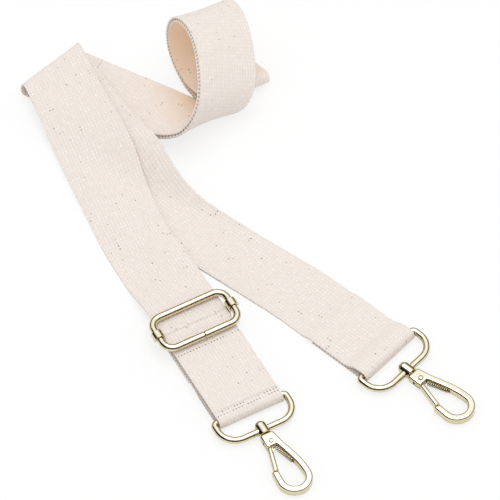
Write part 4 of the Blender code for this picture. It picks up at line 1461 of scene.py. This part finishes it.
def spring_mesh():
    """One unbroken helix between the gate's heel and the step in the arm, with straight ends."""
    start, end = spring_ends()
    axis = (end - start).normalized()
    aside = UP.cross(axis)
    tail = 2 * spring_wire_radius
    run = (end - start).length - 2 * tail
    steps = spring_turns * spring_points_per_turn
    points = []
    for step in range(steps + 1):
        angle = 2 * math.pi * step / spring_points_per_turn
        middle = start + axis * (tail + run * step / steps)
        points.append(middle + spring_radius * (math.cos(angle) * aside + math.sin(angle) * UP))
    points = [points[0] - tail * axis] + points + [points[-1] + tail * axis]
    return wire_mesh(points, spring_wire_radius, False, sides=3)


hook_shapes = (
    ("d_ring", d_ring_mesh(), 0.0, "ring", "tilting_ring", 0.0),
    ("swivel_rivet", swivel_mesh(), ring_depth, "swivel_stem", "hook", 0.0),
    ("snap_hook", hook_mesh(), ring_depth, "hook_body", "hook", worn_edge),
    ("gate_tongue", gate_mesh(), ring_depth + gate_pin_place, "gate", "hinged_gate",
     worn_edge),
    ("gate_rivet", gate_rivet_mesh(), ring_depth + gate_pin_place, "gate_pin", "hook", 0.0),
)
ring_frames = {
    "a": frame_at(ring_a_point, front_heading, ring_bar_height, ring_droop),
    "b": frame_at(ring_b_point, back_heading, ring_bar_height, ring_droop),
}
for tag, ring_frame in ring_frames.items():
    for name, shape, place, node, body, edge in hook_shapes:
        metal_piece(f"{name}_{tag}", shape.copy(), ring_frame @ Matrix.Translation(place * ALONG),
                    f"{node}_{tag}", f"{body}_{tag}", edge)
    hook_frame = ring_frame @ Matrix.Translation(ring_depth * ALONG)
    coil = metal_piece(f"spring_coil_{tag}", spring_mesh(), hook_frame, f"gate_spring_{tag}", None)
    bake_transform(coil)


# Floor and light: a white table under a white tent. Polished metal sees the tent with a dark gap
# low around it, which draws the thin dark lines along its edges.

floor_size = 6.0
tent_strength = 0.67
lamp_power = 7.2
lamp_size = 1.0
lamp_place = Vector((0.05, 0.05, 1.3))
shadow_share = 0.25
mirrored_share = 0.75
mirrored_strength = 1.5
dark_beside = Vector((-0.81, -0.24, 0.53))
# How level with the floor a reflection looks, then the tent's colour there
tent_bands = ((0.30, "#15120F"), (0.40, "#8E8983"), (0.60, "#C9C6C1"), (0.80, "#E8EEFF"))
# From where to where a reflection turns, then the gap's extra height or the light's share there
tent_near_side = (-0.25, -0.85, 0.0, 0.33)
tent_dark_side = (0.94, 0.84, 0.04, 1.0)

bpy.context.scene.view_settings.view_transform = "Standard"


def camera_sees(tree, path):
    """Whether the camera sees a surface, through glass too, from a Light Path node's outputs."""
    return add_node(tree, "ShaderNodeMath", (path["Is Camera Ray"], path["Is Transmission Ray"]),
                    operation="ADD", use_clamp=True).outputs[0]


def make_floor():
    plane = bmesh.new()
    bmesh.ops.create_grid(plane, x_segments=1, y_segments=1, size=floor_size / 2)
    floor = placed("floor", mesh_of(plane))
    material = bpy.data.materials.new("white_paper")
    material.use_nodes = True
    tree = material.node_tree
    tree.nodes.clear()
    paper = add_node(tree, "ShaderNodeBsdfDiffuse", {"Color": linear("#FCFCFC")}).outputs[0]
    glow = add_node(tree, "ShaderNodeEmission", {"Strength": 1.0}).outputs[0]
    path = add_node(tree, "ShaderNodeLightPath").outputs
    seen = add_node(tree, "ShaderNodeMath", (camera_sees(tree, path), 1 - shadow_share),
                    operation="MULTIPLY").outputs[0]
    mirrored = add_node(tree, "ShaderNodeMath", (path["Is Glossy Ray"], 1 - mirrored_share),
                        operation="MULTIPLY").outputs[0]
    share = add_node(tree, "ShaderNodeMath", (seen, mirrored), operation="MAXIMUM").outputs[0]
    mixed = add_node(tree, "ShaderNodeMixShader", (share, paper, glow)).outputs[0]
    add_node(tree, "ShaderNodeOutputMaterial", (mixed,))
    floor.data.materials.append(material)


def make_tent():
    world = bpy.data.worlds.new("white_tent")
    bpy.context.scene.world = world
    world.use_nodes = True
    tree = world.node_tree
    tree.nodes.clear()
    direction = add_node(tree, "ShaderNodeTexCoord").outputs["Generated"]
    parts = add_node(tree, "ShaderNodeSeparateXYZ", (direction,)).outputs
    raised_edge = add_node(tree, "ShaderNodeMapRange", (parts["Y"], *tent_near_side)).outputs[0]
    place = add_node(tree, "ShaderNodeMath", (parts["Z"], raised_edge),
                     operation="SUBTRACT").outputs[0]
    bands = add_node(tree, "ShaderNodeValToRGB", (place,))
    steps = bands.color_ramp.elements
    steps[0].position, steps[1].position = tent_bands[0][0], tent_bands[-1][0]
    steps[0].color, steps[1].color = linear(tent_bands[0][1]), linear(tent_bands[-1][1])
    for position, colour in tent_bands[1:-1]:
        steps.new(position).color = linear(colour)
    beside = add_node(tree, "ShaderNodeVectorMath", (direction, dark_beside),
                      operation="DOT_PRODUCT").outputs["Value"]
    open_side = add_node(tree, "ShaderNodeMapRange", (beside, *tent_dark_side)).outputs[0]
    level = add_node(tree, "ShaderNodeMath", (open_side, mirrored_strength),
                     operation="MULTIPLY").outputs[0]
    path = add_node(tree, "ShaderNodeLightPath").outputs
    shader = None
    for share, colour, strength in ((None, linear("#FFFFFF"), tent_strength),
                                    (path["Is Glossy Ray"], bands.outputs[0], level),
                                    (camera_sees(tree, path), linear("#FFFFFF"), 1.0)):
        sky = add_node(tree, "ShaderNodeBackground", (colour, strength)).outputs[0]
        if shader is None:
            shader = sky
        else:
            shader = add_node(tree, "ShaderNodeMixShader", (share, shader, sky)).outputs[0]
    add_node(tree, "ShaderNodeOutputWorld", (shader,))


def make_lamp():
    data = bpy.data.lights.new("overhead_softbox", "AREA")
    data.size = lamp_size
    data.energy = lamp_power
    lamp = placed("overhead_softbox", data)
    lamp.location = lamp_place
    lamp.rotation_euler = lamp_place.to_track_quat("Z", "Y").to_euler()


make_floor()
make_tent()
make_lamp()
